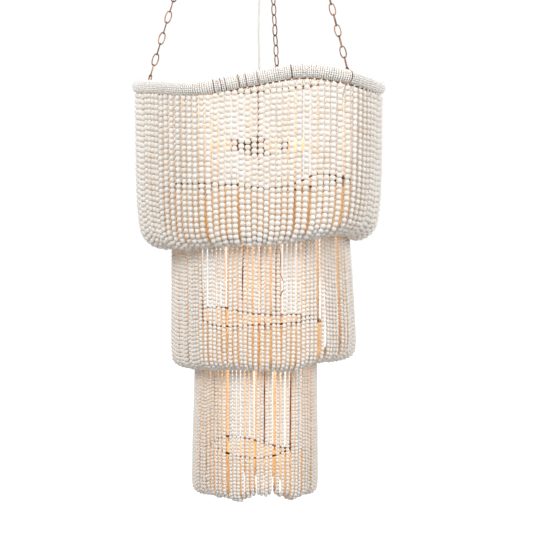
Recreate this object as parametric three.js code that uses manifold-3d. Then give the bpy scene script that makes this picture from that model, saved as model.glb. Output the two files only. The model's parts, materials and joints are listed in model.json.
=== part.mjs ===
// A three-tier beaded chandelier that hangs on three chains from one ceiling canopy.
// Each tier is a ring of bead strands. A strand goes down from its ring, turns inward at the hem
// and comes up again at the next, smaller ring, so the strands hang as long loops.
// Millimetres, +Z up. The origin is the middle of the mounting strap's top face, on the ceiling.

import * as THREE from 'three';
import { mergeVertices } from 'three/addons/utils/BufferGeometryUtils.js';
import Module from 'manifold-3d';

const wasm = await Module();
wasm.setup();

// Fits that the whole part shares
const gap = 0.3;
const overrun = 2;

// Levels: the spider below the top ring, and the sockets below the spider
const spiderBelow = 23;
const socketBelow = 126;

// Ceiling hardware
const strap = { length: 96, width: 22, thickness: 2.5, bossRadius: 8.5, bossDepth: 9 };
const slot = { length: 14, width: 5, spacing: 70 };
const nipple = { radius: 5, seat: 6 };
const canopy = { radius: 64, depth: 36, wall: 1.4 };
const collar = { radius: 14, depth: 9, chamfer: 2 };
const ceilingLoop = { radius: 14, wire: 3, neck: 7 };
const gatheringRing = { radius: 21, wire: 2.3, spread: 20 };
const grommet = { radius: 5, height: 10, offset: 28 };
const cord = { diameter: 4 };

// Oval chain links, by the middle line of their wire
const link = { pitch: 26.2, halfWidth: 6.6, wire: 1.6, bite: 0.3, endHalfWidth: 2.2, shoulder: 2.8 };

// Rings: half width, half depth, how far below the ceiling or the ring above, height of the wave,
// wire radius and number of facets round
const topRing = { halfWidth: 283, halfDepth: 222, drop: 932, waveHeight: 24, wire: 4, steps: 36 };
const secondRing = { halfWidth: 206, halfDepth: 164, below: 240, waveHeight: 20, wire: 2, steps: 28 };
const thirdRing = { halfWidth: 140, halfDepth: 120, below: 325, waveHeight: 12, wire: 2, steps: 22 };
const fourthRing = { halfWidth: 101, halfDepth: 95, below: 317, waveHeight: 22, wire: 2, steps: 18 };
secondRing.drop = topRing.drop + secondRing.below;
thirdRing.drop = secondRing.drop + thirdRing.below;
fourthRing.drop = thirdRing.drop + fourthRing.below;
const spiderDrop = topRing.drop + spiderBelow;
const socketDrop = spiderDrop + socketBelow;

// Points round each ring: shares of half width, half depth and wave, then of the wave of the hem
// below and of that tier's flare
topRing.shares = [
  [-0.48, -0.93, -0.96, -0.15, 0], [-0.07, -0.93, -0.08, 0.05, 0], [0.35, -0.94, 0.70, 0.6, 0],
  [0.69, -0.90, 0.20, 1.0, 0], [0.925, -0.56, -0.50, 1.0, 0], [1.0, -0.13, -0.62, 0.4, 0],
  [0.93, 0.38, 0.10, 0.4, 0], [0.67, 0.80, 0.95, 0.3, 0], [0.25, 0.98, 0.10, 0.1, 0],
  [-0.25, 0.96, -0.15, -0.2, 0], [-0.67, 0.77, -0.25, -0.6, 0], [-0.93, 0.36, -0.42, -0.9, 0],
  [-1.0, -0.17, -0.50, -0.9, 0], [-0.83, -0.60, -0.67, -0.6, 0],
];
secondRing.shares = [
  [-0.68, -0.90, -0.30, 0.0, 0], [-0.34, -1.0, 0.05, 0.3, 0], [0.05, -1.0, -0.35, 0.0, 0],
  [0.41, -0.95, -0.50, -0.4, 0], [0.64, -0.80, 0.0, 0.7, 0.2], [0.86, -0.48, 0.40, 1.0, 0.6],
  [1.0, 0.0, 0.70, 0.1, 1.0], [0.92, 0.45, 0.75, 0.1, 0.5], [0.70, 0.74, 0.95, 0.0, 0.1],
  [0.44, 0.92, -0.30, 0.0, 0], [0.10, 1.0, -0.95, -0.2, 0], [-0.29, 0.94, -0.35, -0.3, 0],
  [-0.68, 0.79, -0.20, -0.6, 0.1], [-0.92, 0.45, -0.20, -1.0, 0.2], [-1.0, -0.03, -0.20, -1.2, 0.2],
  [-0.88, -0.5, -0.20, -0.4, 0.1],
];
thirdRing.shares = [
  [-0.74, -0.80, -0.45, -0.2, 0.2], [-0.48, -0.95, -0.50, -0.4, 0], [-0.02, -1.0, -0.10, 0.7, 0],
  [0.41, -0.95, 0.0, 0.4, 0], [0.72, -0.72, 0.1, -0.5, 0.2], [0.92, -0.28, -0.10, -1.0, 0.4],
  [0.95, 0.27, -0.35, -0.9, 0.4], [0.75, 0.76, -0.40, -0.5, 0.1], [0.28, 0.97, -0.70, 0.0, 0],
  [-0.18, 0.98, -0.35, 0.0, 0], [-0.62, 0.83, 1.0, -0.3, 0.4], [-0.97, 0.38, 1.5, -0.9, 0.8],
  [-1.05, -0.07, 0.75, -1.2, 1.0], [-0.97, -0.45, 0.25, -0.8, 0.8],
];
fourthRing.shares = [
  [-0.92, -0.53, 0.15, 0, 0], [-0.60, -0.86, -0.10, 0, 0], [-0.17, -1.0, -0.30, 0, 0],
  [0.29, -0.95, -0.15, 0, 0], [0.70, -0.70, 0.30, 0, 0], [0.95, -0.25, 0.20, 0, 0],
  [0.93, 0.32, -0.45, 0, 0], [0.64, 0.78, -0.95, 0, 0], [0.15, 1.0, -0.60, 0, 0],
  [-0.35, 0.96, 0.05, 0, 0], [-0.80, 0.66, 0.50, 0, 0], [-1.05, 0.08, 0.55, 0, 0],
];

// Tiers of strands: bead radius, spacing of the strands, how far the hem is below the tier's ring,
// height of the hem's wave and of its turn, how far the tops stand out from the ring, and how far the
// wall flares on its way down
const firstTier = { bead: 6.5, pitch: 19, hang: 376, outset: 5.6, flareWidth: 0 };
const secondTier = { bead: 4.7, pitch: 14.4, hang: 430, outset: -1.3, flareWidth: 19 };
const thirdTier = { bead: 4, pitch: 13.2, hang: 415, outset: -1.1, flareWidth: 9 };
firstTier.hem = { drop: topRing.drop + firstTier.hang, waveHeight: 18, turnHeight: 40 };
secondTier.hem = { drop: secondRing.drop + secondTier.hang, waveHeight: 10, turnHeight: 17 };
thirdTier.hem = { drop: thirdRing.drop + thirdTier.hang, waveHeight: 12, turnHeight: 14 };

// The turn of a strand at the hem, as shares of the way inward and of the height of the turn
firstTier.turnShares = [[0.14, 0.9], [0.8, 0.03]];
secondTier.turnShares = [[0.12, 1.2], [0.82, 0]];
thirdTier.turnShares = [[0.12, 1.2], [0.82, 0]];
const strandClearance = 0.8;
const seamClearance = 2;

// The windings that cover the rings and hold the strands: small beads on the top ring, cord below
const topWinding = { radius: 16.5, sides: 6 };
const secondWinding = { radius: 6.8, sides: 4 };
const thirdWinding = { radius: 6, sides: 4 };

// The eyes on the top ring that take the chains
const eye = { wire: 1.6, halfWidth: 4, rise: 10, shoulder: 3 };

// Compass bearings round the axis, in degrees from +X, of the eyes and of the joins between slices
const eyeBearings = { back: 76.5, left: 203, right: 316 };
const firstCuts = [92, 145, 194.5, 260, 322, 377];
const secondCuts = [74, 138, 187, 227, 307, 338, 375];
const thirdCuts = [16, 83.5, 168, 219, 306];

// Light cluster
const stem = { radius: 3 };
const spiderHub = { radius: 9, depth: 8, taper: 2.5 };
const arm = { radius: 2.4 };
const hub = { radius: 36, above: 17, below: 29, chamfer: 4 };
const socket = { radius: 15.5, reach: 69, boreDepth: 24, boreClearance: 1.2, chamfer: 3 };
const bulb = { base: 7, glass: 17.5, length: 65, turn: 18, count: 4 };

// Slim upright rods of the frame
const rod = { radius: 1.8 };
const hangerShare = 0.8;

// Facets round a section, by the kind of piece
const roundFacets = 16;
const collarFacets = 12;
const socketFacets = 10;
const slimFacets = 8;
const rodFacets = 6;
const wireFacets = 4;
const strandFacets = 3;

// How loosely the smooth line of a ring follows its points
const tension = 0.5;

// Turns a closed three.js geometry into a solid that can be joined and cut
const sameSpot = 1e-4;
function solidOf(geometry) {
  const bare = geometry.clone();
  for (const name of Object.keys(bare.attributes)) {
    if (name !== 'position') bare.deleteAttribute(name);
  }
  const merged = mergeVertices(bare, sameSpot);
  const mesh = new wasm.Mesh({
    numProp: 3,
    vertProperties: new Float32Array(merged.attributes.position.array),
    triVerts: new Uint32Array(merged.index.array),
  });
  mesh.merge();
  return new wasm.Manifold(mesh);
}

// Turns a solid back into a geometry
function geometryOf(solid) {
  const mesh = solid.getMesh();
  const geometry = new THREE.BufferGeometry();
  geometry.setAttribute('position', new THREE.BufferAttribute(mesh.vertProperties, 3));
  geometry.setIndex(new THREE.BufferAttribute(mesh.triVerts, 1));
  geometry.computeVertexNormals();
  return geometry;
}

const joined = (solids) => solids.reduce((whole, solid) => whole.add(solid));

// A route through points in equal steps, so that an extrusion has one section at each point
class Route extends THREE.Curve {
  constructor(points) {
    super();
    this.points = points;
  }
  getPoint(share) {
    const place = Math.min(Math.max(share, 0), 1) * (this.points.length - 1);
    const start = Math.min(Math.floor(place), this.points.length - 2);
    return this.points[start].clone().lerp(this.points[start + 1], place - start);
  }
  getPointAt(share) {
    return this.getPoint(share);
  }
  getTangentAt(share) {
    return this.getTangent(share);
  }
}

// A regular polygon that touches a circle with its corners
function polygon(radius, sides) {
  const shape = new THREE.Shape();
  for (let side = 0; side < sides; side += 1) {
    const angle = (2 * Math.PI * side) / sides;
    if (side === 0) shape.moveTo(radius * Math.cos(angle), radius * Math.sin(angle));
    else shape.lineTo(radius * Math.cos(angle), radius * Math.sin(angle));
  }
  return shape;
}

// A tube along a line of points, closed at both ends
function tube(points, radius, sides) {
  return new THREE.ExtrudeGeometry(polygon(radius, sides), {
    steps: points.length - 1,
    extrudePath: new Route(points),
    curveSegments: 1,
  });
}

// A straight rod between two points
const bar = (start, end, radius, sides = rodFacets) => tube([start, end], radius, sides);

// A tube in one BufferGeometry whose section keeps level with the axis given, with mitred corners.
// It closes on itself, or has a flat first face and a last face that is flat or a point.
function levelTube(points, radius, sides, axis, { closed, tip, firstAngle = 0 }) {
  const last = points.length - 1;
  const corners = [];
  points.forEach((point, place) => {
    const before = closed || place > 0 ? points[(place + last) % (last + 1)] : null;
    const after = closed || place < last ? points[(place + 1) % (last + 1)] : null;
    const to = after ? after.clone().sub(point).normalize() : point.clone().sub(before).normalize();
    const from = before ? point.clone().sub(before).normalize() : to;
    const along = from.clone().add(to).normalize();
    const upright = axis.clone().addScaledVector(along, -axis.dot(along)).normalize();
    const outward = new THREE.Vector3().crossVectors(along, upright);
    const mitre = 1 / along.dot(to);
    for (let side = 0; side < sides; side += 1) {
      const angle = firstAngle + (2 * Math.PI * side) / sides;
      const corner = point.clone().addScaledVector(outward, mitre * radius * Math.cos(angle));
      corner.addScaledVector(upright, radius * Math.sin(angle));
      corners.push(corner.x, corner.y, corner.z);
    }
  });
  const faces = [];
  const spans = closed ? last + 1 : last;
  if (tip) corners.push(tip.x, tip.y, tip.z);
  for (let place = 0; place < spans; place += 1) {
    const next = (place + 1) % (last + 1);
    for (let side = 0; side < sides; side += 1) {
      const beside = (side + 1) % sides;
      const here = [place * sides + side, place * sides + beside];
      const there = [next * sides + side, next * sides + beside];
      faces.push(here[0], there[1], here[1], here[0], there[0], there[1]);
    }
  }
  const foot = last * sides;
  for (let side = 1; !closed && side < sides - 1; side += 1) {
    faces.push(0, side, side + 1);
    if (!tip) faces.push(foot, foot + side + 1, foot + side);
  }
  for (let side = 0; tip && side < sides; side += 1) {
    faces.push(foot + sides, foot + ((side + 1) % sides), foot + side);
  }
  const geometry = new THREE.BufferGeometry();
  geometry.setAttribute('position', new THREE.Float32BufferAttribute(corners, 3));
  geometry.setIndex(faces);
  return geometry;
}

// A round body about the Z axis, from its closed half outline of [radius, height] points
function revolved(outline, facets = roundFacets) {
  const points = outline.map(([radius, height]) => new THREE.Vector2(radius, height));
  return new THREE.LatheGeometry(points, facets).rotateX(Math.PI / 2);
}

// A plain ring of wire whose hole looks along the level axis given
function wireRing(centre, { radius, wire }, holeAxis) {
  const side = new THREE.Vector3(holeAxis.y, holeAxis.x, 0);
  const points = [];
  for (let step = 0; step < roundFacets; step += 1) {
    const angle = (2 * Math.PI * step) / roundFacets;
    const point = centre.clone().addScaledVector(side, radius * Math.sin(angle));
    point.z -= radius * Math.cos(angle);
    points.push(point);
  }
  return solidOf(levelTube(points, wire, rodFacets, holeAxis, { closed: true }));
}

const up = new THREE.Vector3(0, 0, 1);
const east = new THREE.Vector3(1, 0, 0);
const north = new THREE.Vector3(0, 1, 0);

// A ring's middle line: a smooth closed curve through its points, cut into equal straight steps,
// that can be walked by distance or found by bearing
class RingLine {
  constructor(ring) {
    const axes = ring.shares.map(([x, y, z]) => new THREE.Vector3(
      x * ring.halfWidth, y * ring.halfDepth, z * ring.waveHeight - ring.drop));
    const curve = new THREE.CatmullRomCurve3(axes, true, 'catmullrom', tension);
    this.ring = ring;
    this.points = [];
    this.hems = [];
    for (let step = 0; step < ring.steps; step += 1) {
      const place = curve.getUtoTmapping(step / ring.steps) * ring.shares.length;
      const from = ring.shares[Math.floor(place) % ring.shares.length];
      const to = ring.shares[(Math.floor(place) + 1) % ring.shares.length];
      const share = place - Math.floor(place);
      this.points.push(curve.getPoint(place / ring.shares.length));
      this.hems.push([3, 4].map((column) => from[column] + share * (to[column] - from[column])));
    }
    this.starts = [0];
    this.points.forEach((point, place) => {
      this.starts.push(this.starts[place] + point.distanceTo(this.points[(place + 1) % ring.steps]));
    });
    this.length = this.starts[ring.steps];
  }
  // The spot at a distance: its point, its outward direction, and its shares of hem wave and flare
  at(distance) {
    const walked = ((distance % this.length) + this.length) % this.length;
    let place = 0;
    while (this.starts[place + 1] < walked) place += 1;
    const share = (walked - this.starts[place]) / (this.starts[place + 1] - this.starts[place]);
    const here = this.points[place];
    const next = this.points[(place + 1) % this.points.length];
    const hems = this.hems[(place + 1) % this.points.length];
    const mixed = (value, column) => value + share * (hems[column] - value);
    const [wave, flare] = this.hems[place].map(mixed);
    const outward = new THREE.Vector3(next.y - here.y, here.x - next.x, 0).normalize();
    return { point: here.clone().lerp(next, share), outward, wave, flare };
  }
  // The distance at which the line crosses a bearing
  distanceAt(bearing) {
    const angle = THREE.MathUtils.degToRad(bearing);
    const ray = new THREE.Vector2(Math.cos(angle), Math.sin(angle));
    const sideOf = (point) => ray.x * point.y - ray.y * point.x;
    const place = this.points.findIndex((here, index) => {
      const next = this.points[(index + 1) % this.points.length];
      return sideOf(here) <= 0 && sideOf(next) > 0 && here.x * ray.x + here.y * ray.y > 0;
    });
    const before = sideOf(this.points[place]);
    const after = sideOf(this.points[(place + 1) % this.points.length]);
    const step = this.starts[place + 1] - this.starts[place];
    return this.starts[place] + (step * before) / (before - after);
  }
  pointAt(bearing) {
    return this.at(this.distanceAt(bearing)).point;
  }
  // The line's points from one distance on to a later one, both ends included
  stretch(from, to) {
    const points = [this.at(from).point];
    for (let lap = 0; lap < 2; lap += 1) {
      this.points.forEach((point, place) => {
        const distance = this.starts[place] + lap * this.length;
        if (distance > from + overrun && distance < to - overrun) points.push(point.clone());
      });
    }
    points.push(this.at(to).point);
    return points;
  }
  // The square wire itself, or with more on every side the room that it needs
  wireWith(more) {
    const radius = (this.ring.wire + more) * Math.SQRT2;
    const firstAngle = Math.PI / wireFacets;
    return solidOf(levelTube(this.points, radius, wireFacets, up, { closed: true, firstAngle }));
  }
  // The room of the winding all the way round
  windingRoom({ radius, sides }) {
    const firstAngle = Math.PI / sides;
    const wide = radius + gap / Math.cos(firstAngle);
    return solidOf(levelTube(this.points, wide, sides, up, { closed: true, firstAngle }));
  }
}

const topLine = new RingLine(topRing);
const secondLine = new RingLine(secondRing);
const thirdLine = new RingLine(thirdRing);
const fourthLine = new RingLine(fourthRing);
const ringLines = [topLine, secondLine, thirdLine, fourthLine];
const ringRooms = new Map(ringLines.map((line) => [line, line.wireWith(gap)]));

const pieces = new THREE.Group();

function addPiece(name, solid, finish) {
  const mesh = new THREE.Mesh(geometryOf(solid), new THREE.MeshStandardMaterial(finish));
  mesh.name = name;
  pieces.add(mesh);
}

const bronze = { color: 0x5a3a26, roughness: 0.45, metalness: 0.9 };
const darkBronze = { color: 0x3a2a20, roughness: 0.5, metalness: 0.85 };
const beadWood = { color: 0xe9dccb, roughness: 0.6, metalness: 0 };
const frostedGlass = { color: 0xfff1d8, roughness: 0.3, metalness: 0 };
const clearCord = { color: 0xd9d6cf, roughness: 0.4, metalness: 0 };
const blackRubber = { color: 0x2c2a28, roughness: 0.8, metalness: 0 };

// Ceiling strap, with two slots for screws and a blind threaded boss under its middle
const bossFoot = -(strap.thickness + strap.bossDepth);
const nippleTop = bossFoot + nipple.seat;
function ceilingStrap() {
  const plate = new THREE.BoxGeometry(strap.length, strap.width, strap.thickness);
  plate.translate(0, 0, -strap.thickness / 2);
  const boss = revolved([[0, bossFoot], [strap.bossRadius, bossFoot],
    [strap.bossRadius, -strap.thickness / 2], [0, -strap.thickness / 2]]);
  const bore = revolved([[0, bossFoot - overrun], [nipple.radius + gap, bossFoot - overrun],
    [nipple.radius + gap, nippleTop + gap], [0, nippleTop + gap]]);
  const slots = [-1, 1].map((side) => {
    const cut = new THREE.BoxGeometry(slot.length, slot.width, strap.thickness + overrun);
    return solidOf(cut.translate((side * slot.spacing) / 2, 0, -strap.thickness / 2));
  });
  return solidOf(plate).add(solidOf(boss)).subtract(solidOf(bore)).subtract(joined(slots));
}
addPiece('mounting_strap', ceilingStrap(), darkBronze);

// Canopy, a spun cup with its mouth on the ceiling, and its holes for the nipple and the cord
const canopyFoot = -canopy.depth;
const canopyShares = [[1, 0], [0.97, 0.36], [0.83, 0.72], [0.5, 0.97]];
const grommetSpot = new THREE.Vector3(-grommet.offset, grommet.offset, 0).multiplyScalar(Math.SQRT1_2);
function grommetDrum(radius, height) {
  const drum = new THREE.CylinderGeometry(radius, radius, height, slimFacets);
  return solidOf(drum.rotateX(Math.PI / 2).translate(grommetSpot.x, grommetSpot.y, canopyFoot));
}
function canopyCup() {
  const hole = nipple.radius + gap;
  const inner = canopy.radius - canopy.wall;
  const innerDepth = canopy.depth - canopy.wall;
  const outside = canopyShares.map(([r, z]) => [r * canopy.radius, -z * canopy.depth]);
  const inside = canopyShares.map(([r, z]) => [r * inner, -z * innerDepth]);
  const outline = [...inside, [hole, -innerDepth], [hole, canopyFoot], ...outside.reverse()];
  const hatch = grommetDrum(grommet.radius + gap, grommet.height);
  return solidOf(revolved([...outline, outline[0]])).subtract(hatch);
}
addPiece('canopy', canopyCup(), bronze);

// Grommet in the canopy, with the bore that the cord comes out of
const cordBore = grommetDrum(cord.diameter / 2 + gap, grommet.height + overrun);
addPiece('cord_grommet', grommetDrum(grommet.radius, grommet.height).subtract(cordBore), blackRubber);

// Collar nut that holds the canopy up
const collarTop = canopyFoot - gap;
const collarFoot = collarTop - collar.depth;
function collarNut() {
  const hole = nipple.radius + gap;
  const outline = [[hole, collarFoot], [collar.radius - collar.chamfer, collarFoot],
    [collar.radius, collarFoot + collar.chamfer], [collar.radius, collarTop], [hole, collarTop]];
  return solidOf(revolved([...outline, outline[0]], collarFacets));
}
addPiece('canopy_collar', collarNut(), bronze);

// Threaded nipple with the loop under it
const loopCentre = new THREE.Vector3(0, 0, collarFoot - ceilingLoop.neck - ceilingLoop.radius);
const loopFoot = loopCentre.z - ceilingLoop.radius;
function nippleAndLoop() {
  const foot = loopCentre.z + ceilingLoop.radius;
  const outline = [[0, foot], [nipple.radius, foot], [nipple.radius, nippleTop], [0, nippleTop]];
  return solidOf(revolved(outline, collarFacets)).add(wireRing(loopCentre, ceilingLoop, east));
}
addPiece('canopy_loop', nippleAndLoop(), bronze);

// Gathering ring: it hangs in the loop and takes the top links of the three chains
const ringTop = loopFoot + ceilingLoop.wire + gap + gatheringRing.wire;
const gatherCentre = new THREE.Vector3(0, 0, ringTop - gatheringRing.radius);
addPiece('gathering_ring', wireRing(gatherCentre, gatheringRing, north), bronze);

// The eyes stand on the top ring. An eye's hole looks along its hole axis, and a chain to it has an
// odd or an even number of links, so that the last link crosses the eye.
const eyes = [
  { name: 'left', bearing: eyeBearings.left, hole: north, odd: 1, turn: -1 },
  { name: 'right', bearing: eyeBearings.right, hole: north, odd: 1, turn: 1 },
  { name: 'back', bearing: eyeBearings.back, hole: east, odd: 0, turn: 0 },
];
for (const place of eyes) place.seat = topLine.pointAt(place.bearing);
const eyeTop = topWinding.radius + eye.rise;
function eyeLoop({ seat, hole }) {
  const side = new THREE.Vector3(hole.y, hole.x, 0);
  const shoulder = eyeTop - eye.shoulder;
  const halfTop = eye.halfWidth - eye.shoulder / 2;
  const outline = [[eye.halfWidth, 0], [eye.halfWidth, shoulder], [halfTop, eyeTop],
    [-halfTop, eyeTop], [-eye.halfWidth, shoulder], [-eye.halfWidth, 0]];
  const points = outline.map(([x, z]) => seat.clone().addScaledVector(side, x).addScaledVector(up, z));
  const firstAngle = Math.PI / wireFacets;
  return solidOf(levelTube(points, eye.wire, wireFacets, hole, { closed: true, firstAngle }));
}
addPiece('ring_1_top', joined([topLine.wireWith(0), ...eyes.map(eyeLoop)]), bronze);
addPiece('ring_2', secondLine.wireWith(0), bronze);
addPiece('ring_3', thirdLine.wireWith(0), bronze);
addPiece('ring_4_bottom', fourthLine.wireWith(0), bronze);

// Chains. The links bear on one another where they cross, each turned by a right angle, and their
// length follows from the run between ring and eye and the whole number of links.
function chain({ seat, odd, turn }) {
  const swing = THREE.MathUtils.degToRad(gatheringRing.spread * turn);
  const start = gatherCentre.clone();
  start.x += gatheringRing.radius * Math.sin(swing);
  start.z -= gatheringRing.radius * Math.cos(swing);
  const end = seat.clone().addScaledVector(up, eyeTop);
  const along = end.clone().sub(start).normalize();
  const bearing = gatheringRing.wire + gap + link.wire;
  const run = start.distanceTo(end) + bearing + eye.wire + gap + link.wire;
  const count = 2 * Math.round((run / link.pitch - odd) / 2) + odd;
  const overlap = 2 * link.wire - link.bite;
  const halfLength = (run + (count - 1) * overlap) / (2 * count);
  const links = [];
  for (let place = 0; place < count; place += 1) {
    const walked = halfLength - bearing + place * (2 * halfLength - overlap);
    const centre = start.clone().addScaledVector(along, walked);
    const facing = place % 2 === 0 ? east : north;
    const normal = facing.clone().addScaledVector(along, -facing.dot(along)).normalize();
    const across = new THREE.Vector3().crossVectors(along, normal);
    const shoulder = halfLength - link.shoulder;
    const quarter = [[link.halfWidth, shoulder], [link.endHalfWidth, halfLength]];
    const outline = [...quarter, ...quarter.map(([x, z]) => [-x, z]).reverse(),
      ...quarter.map(([x, z]) => [-x, -z]), ...quarter.map(([x, z]) => [x, -z]).reverse()];
    const points = outline.map(([x, z]) => centre.clone()
      .addScaledVector(across, x).addScaledVector(along, z));
    const wire = levelTube(points, link.wire, strandFacets, normal, { closed: true, firstAngle: Math.PI });
    links.push(solidOf(wire));
  }
  return joined(links);
}
for (const place of eyes) addPiece(`chain_${place.name}`, chain(place), bronze);

// Spider: a small round block on the axis, with three arms out to the top ring
const spiderTop = -spiderDrop + spiderHub.depth / 2;
const spiderFoot = -spiderDrop - spiderHub.depth / 2;
const spiderOutline = [[0, spiderFoot], [spiderHub.radius - spiderHub.taper, spiderFoot],
  [spiderHub.radius, spiderFoot + spiderHub.taper], [spiderHub.radius, spiderTop], [0, spiderTop]];
addPiece('spider_block', solidOf(revolved(spiderOutline, collarFacets)), bronze);
const arms = { back: firstCuts[0], left: firstCuts[2], right: firstCuts[4] };
for (const [name, bearing] of Object.entries(arms)) {
  const end = topLine.pointAt(bearing);
  const outward = end.clone().setZ(0).normalize();
  const start = outward.multiplyScalar(spiderHub.radius + gap).setZ(-spiderDrop);
  const whole = solidOf(bar(start, end, arm.radius)).subtract(ringRooms.get(topLine));
  addPiece(`spider_arm_${name}`, whole, bronze);
}

// Stem from the spider block to the light cluster's hub
const hubTop = -socketDrop + hub.above;
const hubFoot = -socketDrop - hub.below;
const onAxis = (z) => new THREE.Vector3(0, 0, z);
const stemBar = bar(onAxis(spiderFoot - gap), onAxis(hubTop + gap), stem.radius, slimFacets);
addPiece('stem', solidOf(stemBar), bronze);

// Hub, a spun drum that carries four sockets on its side
const hubOutline = (more) => [[0, hubFoot - more], [hub.radius - hub.chamfer / 2, hubFoot - more],
  [hub.radius + more, hubFoot + hub.chamfer], [hub.radius + more, hubTop - hub.chamfer],
  [hub.radius - hub.chamfer, hubTop + more], [0, hubTop + more]];
addPiece('light_hub', solidOf(revolved(hubOutline(0))), darkBronze);
const hubRoom = solidOf(revolved(hubOutline(gap)));

// Sockets and bulbs, modelled along +Z from the axis and then turned out to their bearings
function turnedOut(outline, facets, bearing) {
  const geometry = revolved(outline, facets);
  geometry.rotateY(Math.PI / 2).rotateZ(THREE.MathUtils.degToRad(bearing));
  return solidOf(geometry.translate(0, 0, -socketDrop));
}
const boreRadius = bulb.base + socket.boreClearance;
const boreFloor = socket.reach - socket.boreDepth;
const socketNeck = hub.radius + 2 * socket.chamfer;
const socketOutline = [[0, hub.radius / 2], [socket.radius - socket.chamfer, hub.radius / 2],
  [socket.radius - socket.chamfer, socketNeck], [socket.radius, socketNeck + socket.chamfer],
  [socket.radius, socket.reach], [boreRadius, socket.reach], [boreRadius, boreFloor], [0, boreFloor]];
const bulbShares = [[0.6, 0.05], [1, 0.36], [0.88, 0.64], [0.4, 0.94], [0, 1]];
const bulbOutline = [[0, boreFloor + gap], [bulb.base, boreFloor + gap], [bulb.base, socket.reach],
  ...bulbShares.map(([r, z]) => [r * bulb.glass, socket.reach + z * bulb.length])];
for (let place = 0; place < bulb.count; place += 1) {
  const bearing = bulb.turn + (place * 360) / bulb.count;
  const cup = turnedOut(socketOutline, socketFacets, bearing).subtract(hubRoom);
  addPiece(`socket_${place + 1}`, cup, darkBronze);
  addPiece(`bulb_${place + 1}`, turnedOut(bulbOutline, slimFacets, bearing), frostedGlass);
}

// Two hanger rods from the hub's underside down to the third ring
const hangers = [
  { name: 'front', side: new THREE.Vector3(-0.96, -0.28, 0), bearing: 250 },
  { name: 'back', side: new THREE.Vector3(0, 1, 0), bearing: 86 },
];
const windingRooms = new Map([[topLine, topLine.windingRoom(topWinding)],
  [secondLine, secondLine.windingRoom(secondWinding)], [thirdLine, thirdLine.windingRoom(thirdWinding)]]);
for (const { name, side, bearing } of hangers) {
  const start = side.multiplyScalar(hangerShare * hub.radius).setZ(hubFoot);
  const upright = solidOf(bar(start, thirdLine.pointAt(bearing), rod.radius));
  addPiece(`hanger_rod_${name}`, upright.subtract(hubRoom).subtract(windingRooms.get(thirdLine)), bronze);
}

// Frame rods from each ring to the next. Bearings are those of the upper end and of the lower end.
// The upper rods start under the top winding, and the others reach their upper ring between slices.
const frameRods = [
  { name: 'upper_rod_back', from: topLine, to: secondLine, bearings: [80.5, 77.5] },
  { name: 'upper_rod_left', from: topLine, to: secondLine, bearings: [eyeBearings.left, 200] },
  { name: 'upper_rod_right', from: topLine, to: secondLine, bearings: [eyeBearings.right, 316] },
  { name: 'middle_rod_back', from: secondLine, to: thirdLine, bearings: [secondCuts[0], 70.5] },
  { name: 'middle_rod_left', from: secondLine, to: thirdLine, bearings: [227.5, 202] },
  { name: 'middle_rod_right', from: secondLine, to: thirdLine, bearings: [secondCuts[4], 322] },
  { name: 'lower_rod_back', from: thirdLine, to: fourthLine, bearings: [thirdCuts[1], 82] },
  { name: 'lower_rod_left', from: thirdLine, to: fourthLine, bearings: [thirdCuts[3], 193] },
  { name: 'lower_rod_right', from: thirdLine, to: fourthLine, bearings: [thirdCuts[4], 320] },
];
for (const { name, from, to, bearings } of frameRods) {
  const upright = solidOf(bar(from.pointAt(bearings[0]), to.pointAt(bearings[1]), rod.radius));
  const upper = from === topLine ? windingRooms.get(from) : ringRooms.get(from);
  const lower = to === fourthLine ? ringRooms.get(to) : windingRooms.get(to);
  addPiece(name, upright.subtract(upper).subtract(lower), bronze);
}

// One strand: down from its ring, inward round the hem and up to the inner ring, outside the strands
// there, where it narrows to its tie
function strand(tier, outer, inner, top, standOff, radius) {
  const start = outer.point.clone().addScaledVector(outer.outward, tier.outset).setZ(0);
  const end = inner.point.clone().addScaledVector(inner.outward, standOff).setZ(0);
  const inward = end.clone().sub(start);
  const depth = inward.length();
  inward.normalize();
  const flare = outer.flare * tier.flareWidth;
  const hem = outer.wave * tier.hem.waveHeight - tier.hem.drop;
  const turn = tier.turnShares.map(([inset, rise]) => start.clone()
    .addScaledVector(inward, inset * depth - (1 - inset) * flare)
    .setZ(hem + rise * tier.hem.turnHeight));
  const points = [start.setZ(outer.point.z - top), ...turn];
  const side = new THREE.Vector3(inward.y, -inward.x, 0);
  return solidOf(levelTube(points, radius, strandFacets, side, { tip: end.setZ(inner.point.z) }));
}

// A tier's strands, in slices between the joins. A slice's strands are held by its stretch of the
// winding round the ring, and no two of them cross.
function addTier(name, { tier, upper, lower, cuts, winding, seam, standOff, cutters }) {
  const top = (upper.ring.wire + gap + winding.radius * Math.cos(Math.PI / winding.sides)) / 2;
  const firstAngle = Math.PI / winding.sides;
  cuts.forEach((cut, place) => {
    const nextCut = cuts[(place + 1) % cuts.length];
    const from = upper.distanceAt(cut);
    const length = (upper.distanceAt(nextCut) - from + upper.length) % upper.length;
    const innerFrom = lower.distanceAt(cut);
    const innerLength = (lower.distanceAt(nextCut) - innerFrom + lower.length) % lower.length;
    const count = Math.round(length / tier.pitch);
    const width = Math.min(2 * tier.bead, innerLength / count - strandClearance);
    const line = upper.stretch(from + seam / 2, from + length - seam / 2);
    const solids = [solidOf(levelTube(line, winding.radius, winding.sides, up, { firstAngle }))];
    for (let step = 0; step < count; step += 1) {
      const share = (step + 0.5) / count;
      const outer = upper.at(from + seam / 2 + share * (length - seam));
      const inner = lower.at(innerFrom + share * innerLength);
      solids.push(strand(tier, outer, inner, top, standOff, width / Math.sqrt(3)));
    }
    const whole = cutters.reduce((rest, cutter) => rest.subtract(cutter), joined(solids));
    addPiece(`${name}_${place + 1}`, whole, beadWood);
  });
}

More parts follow.
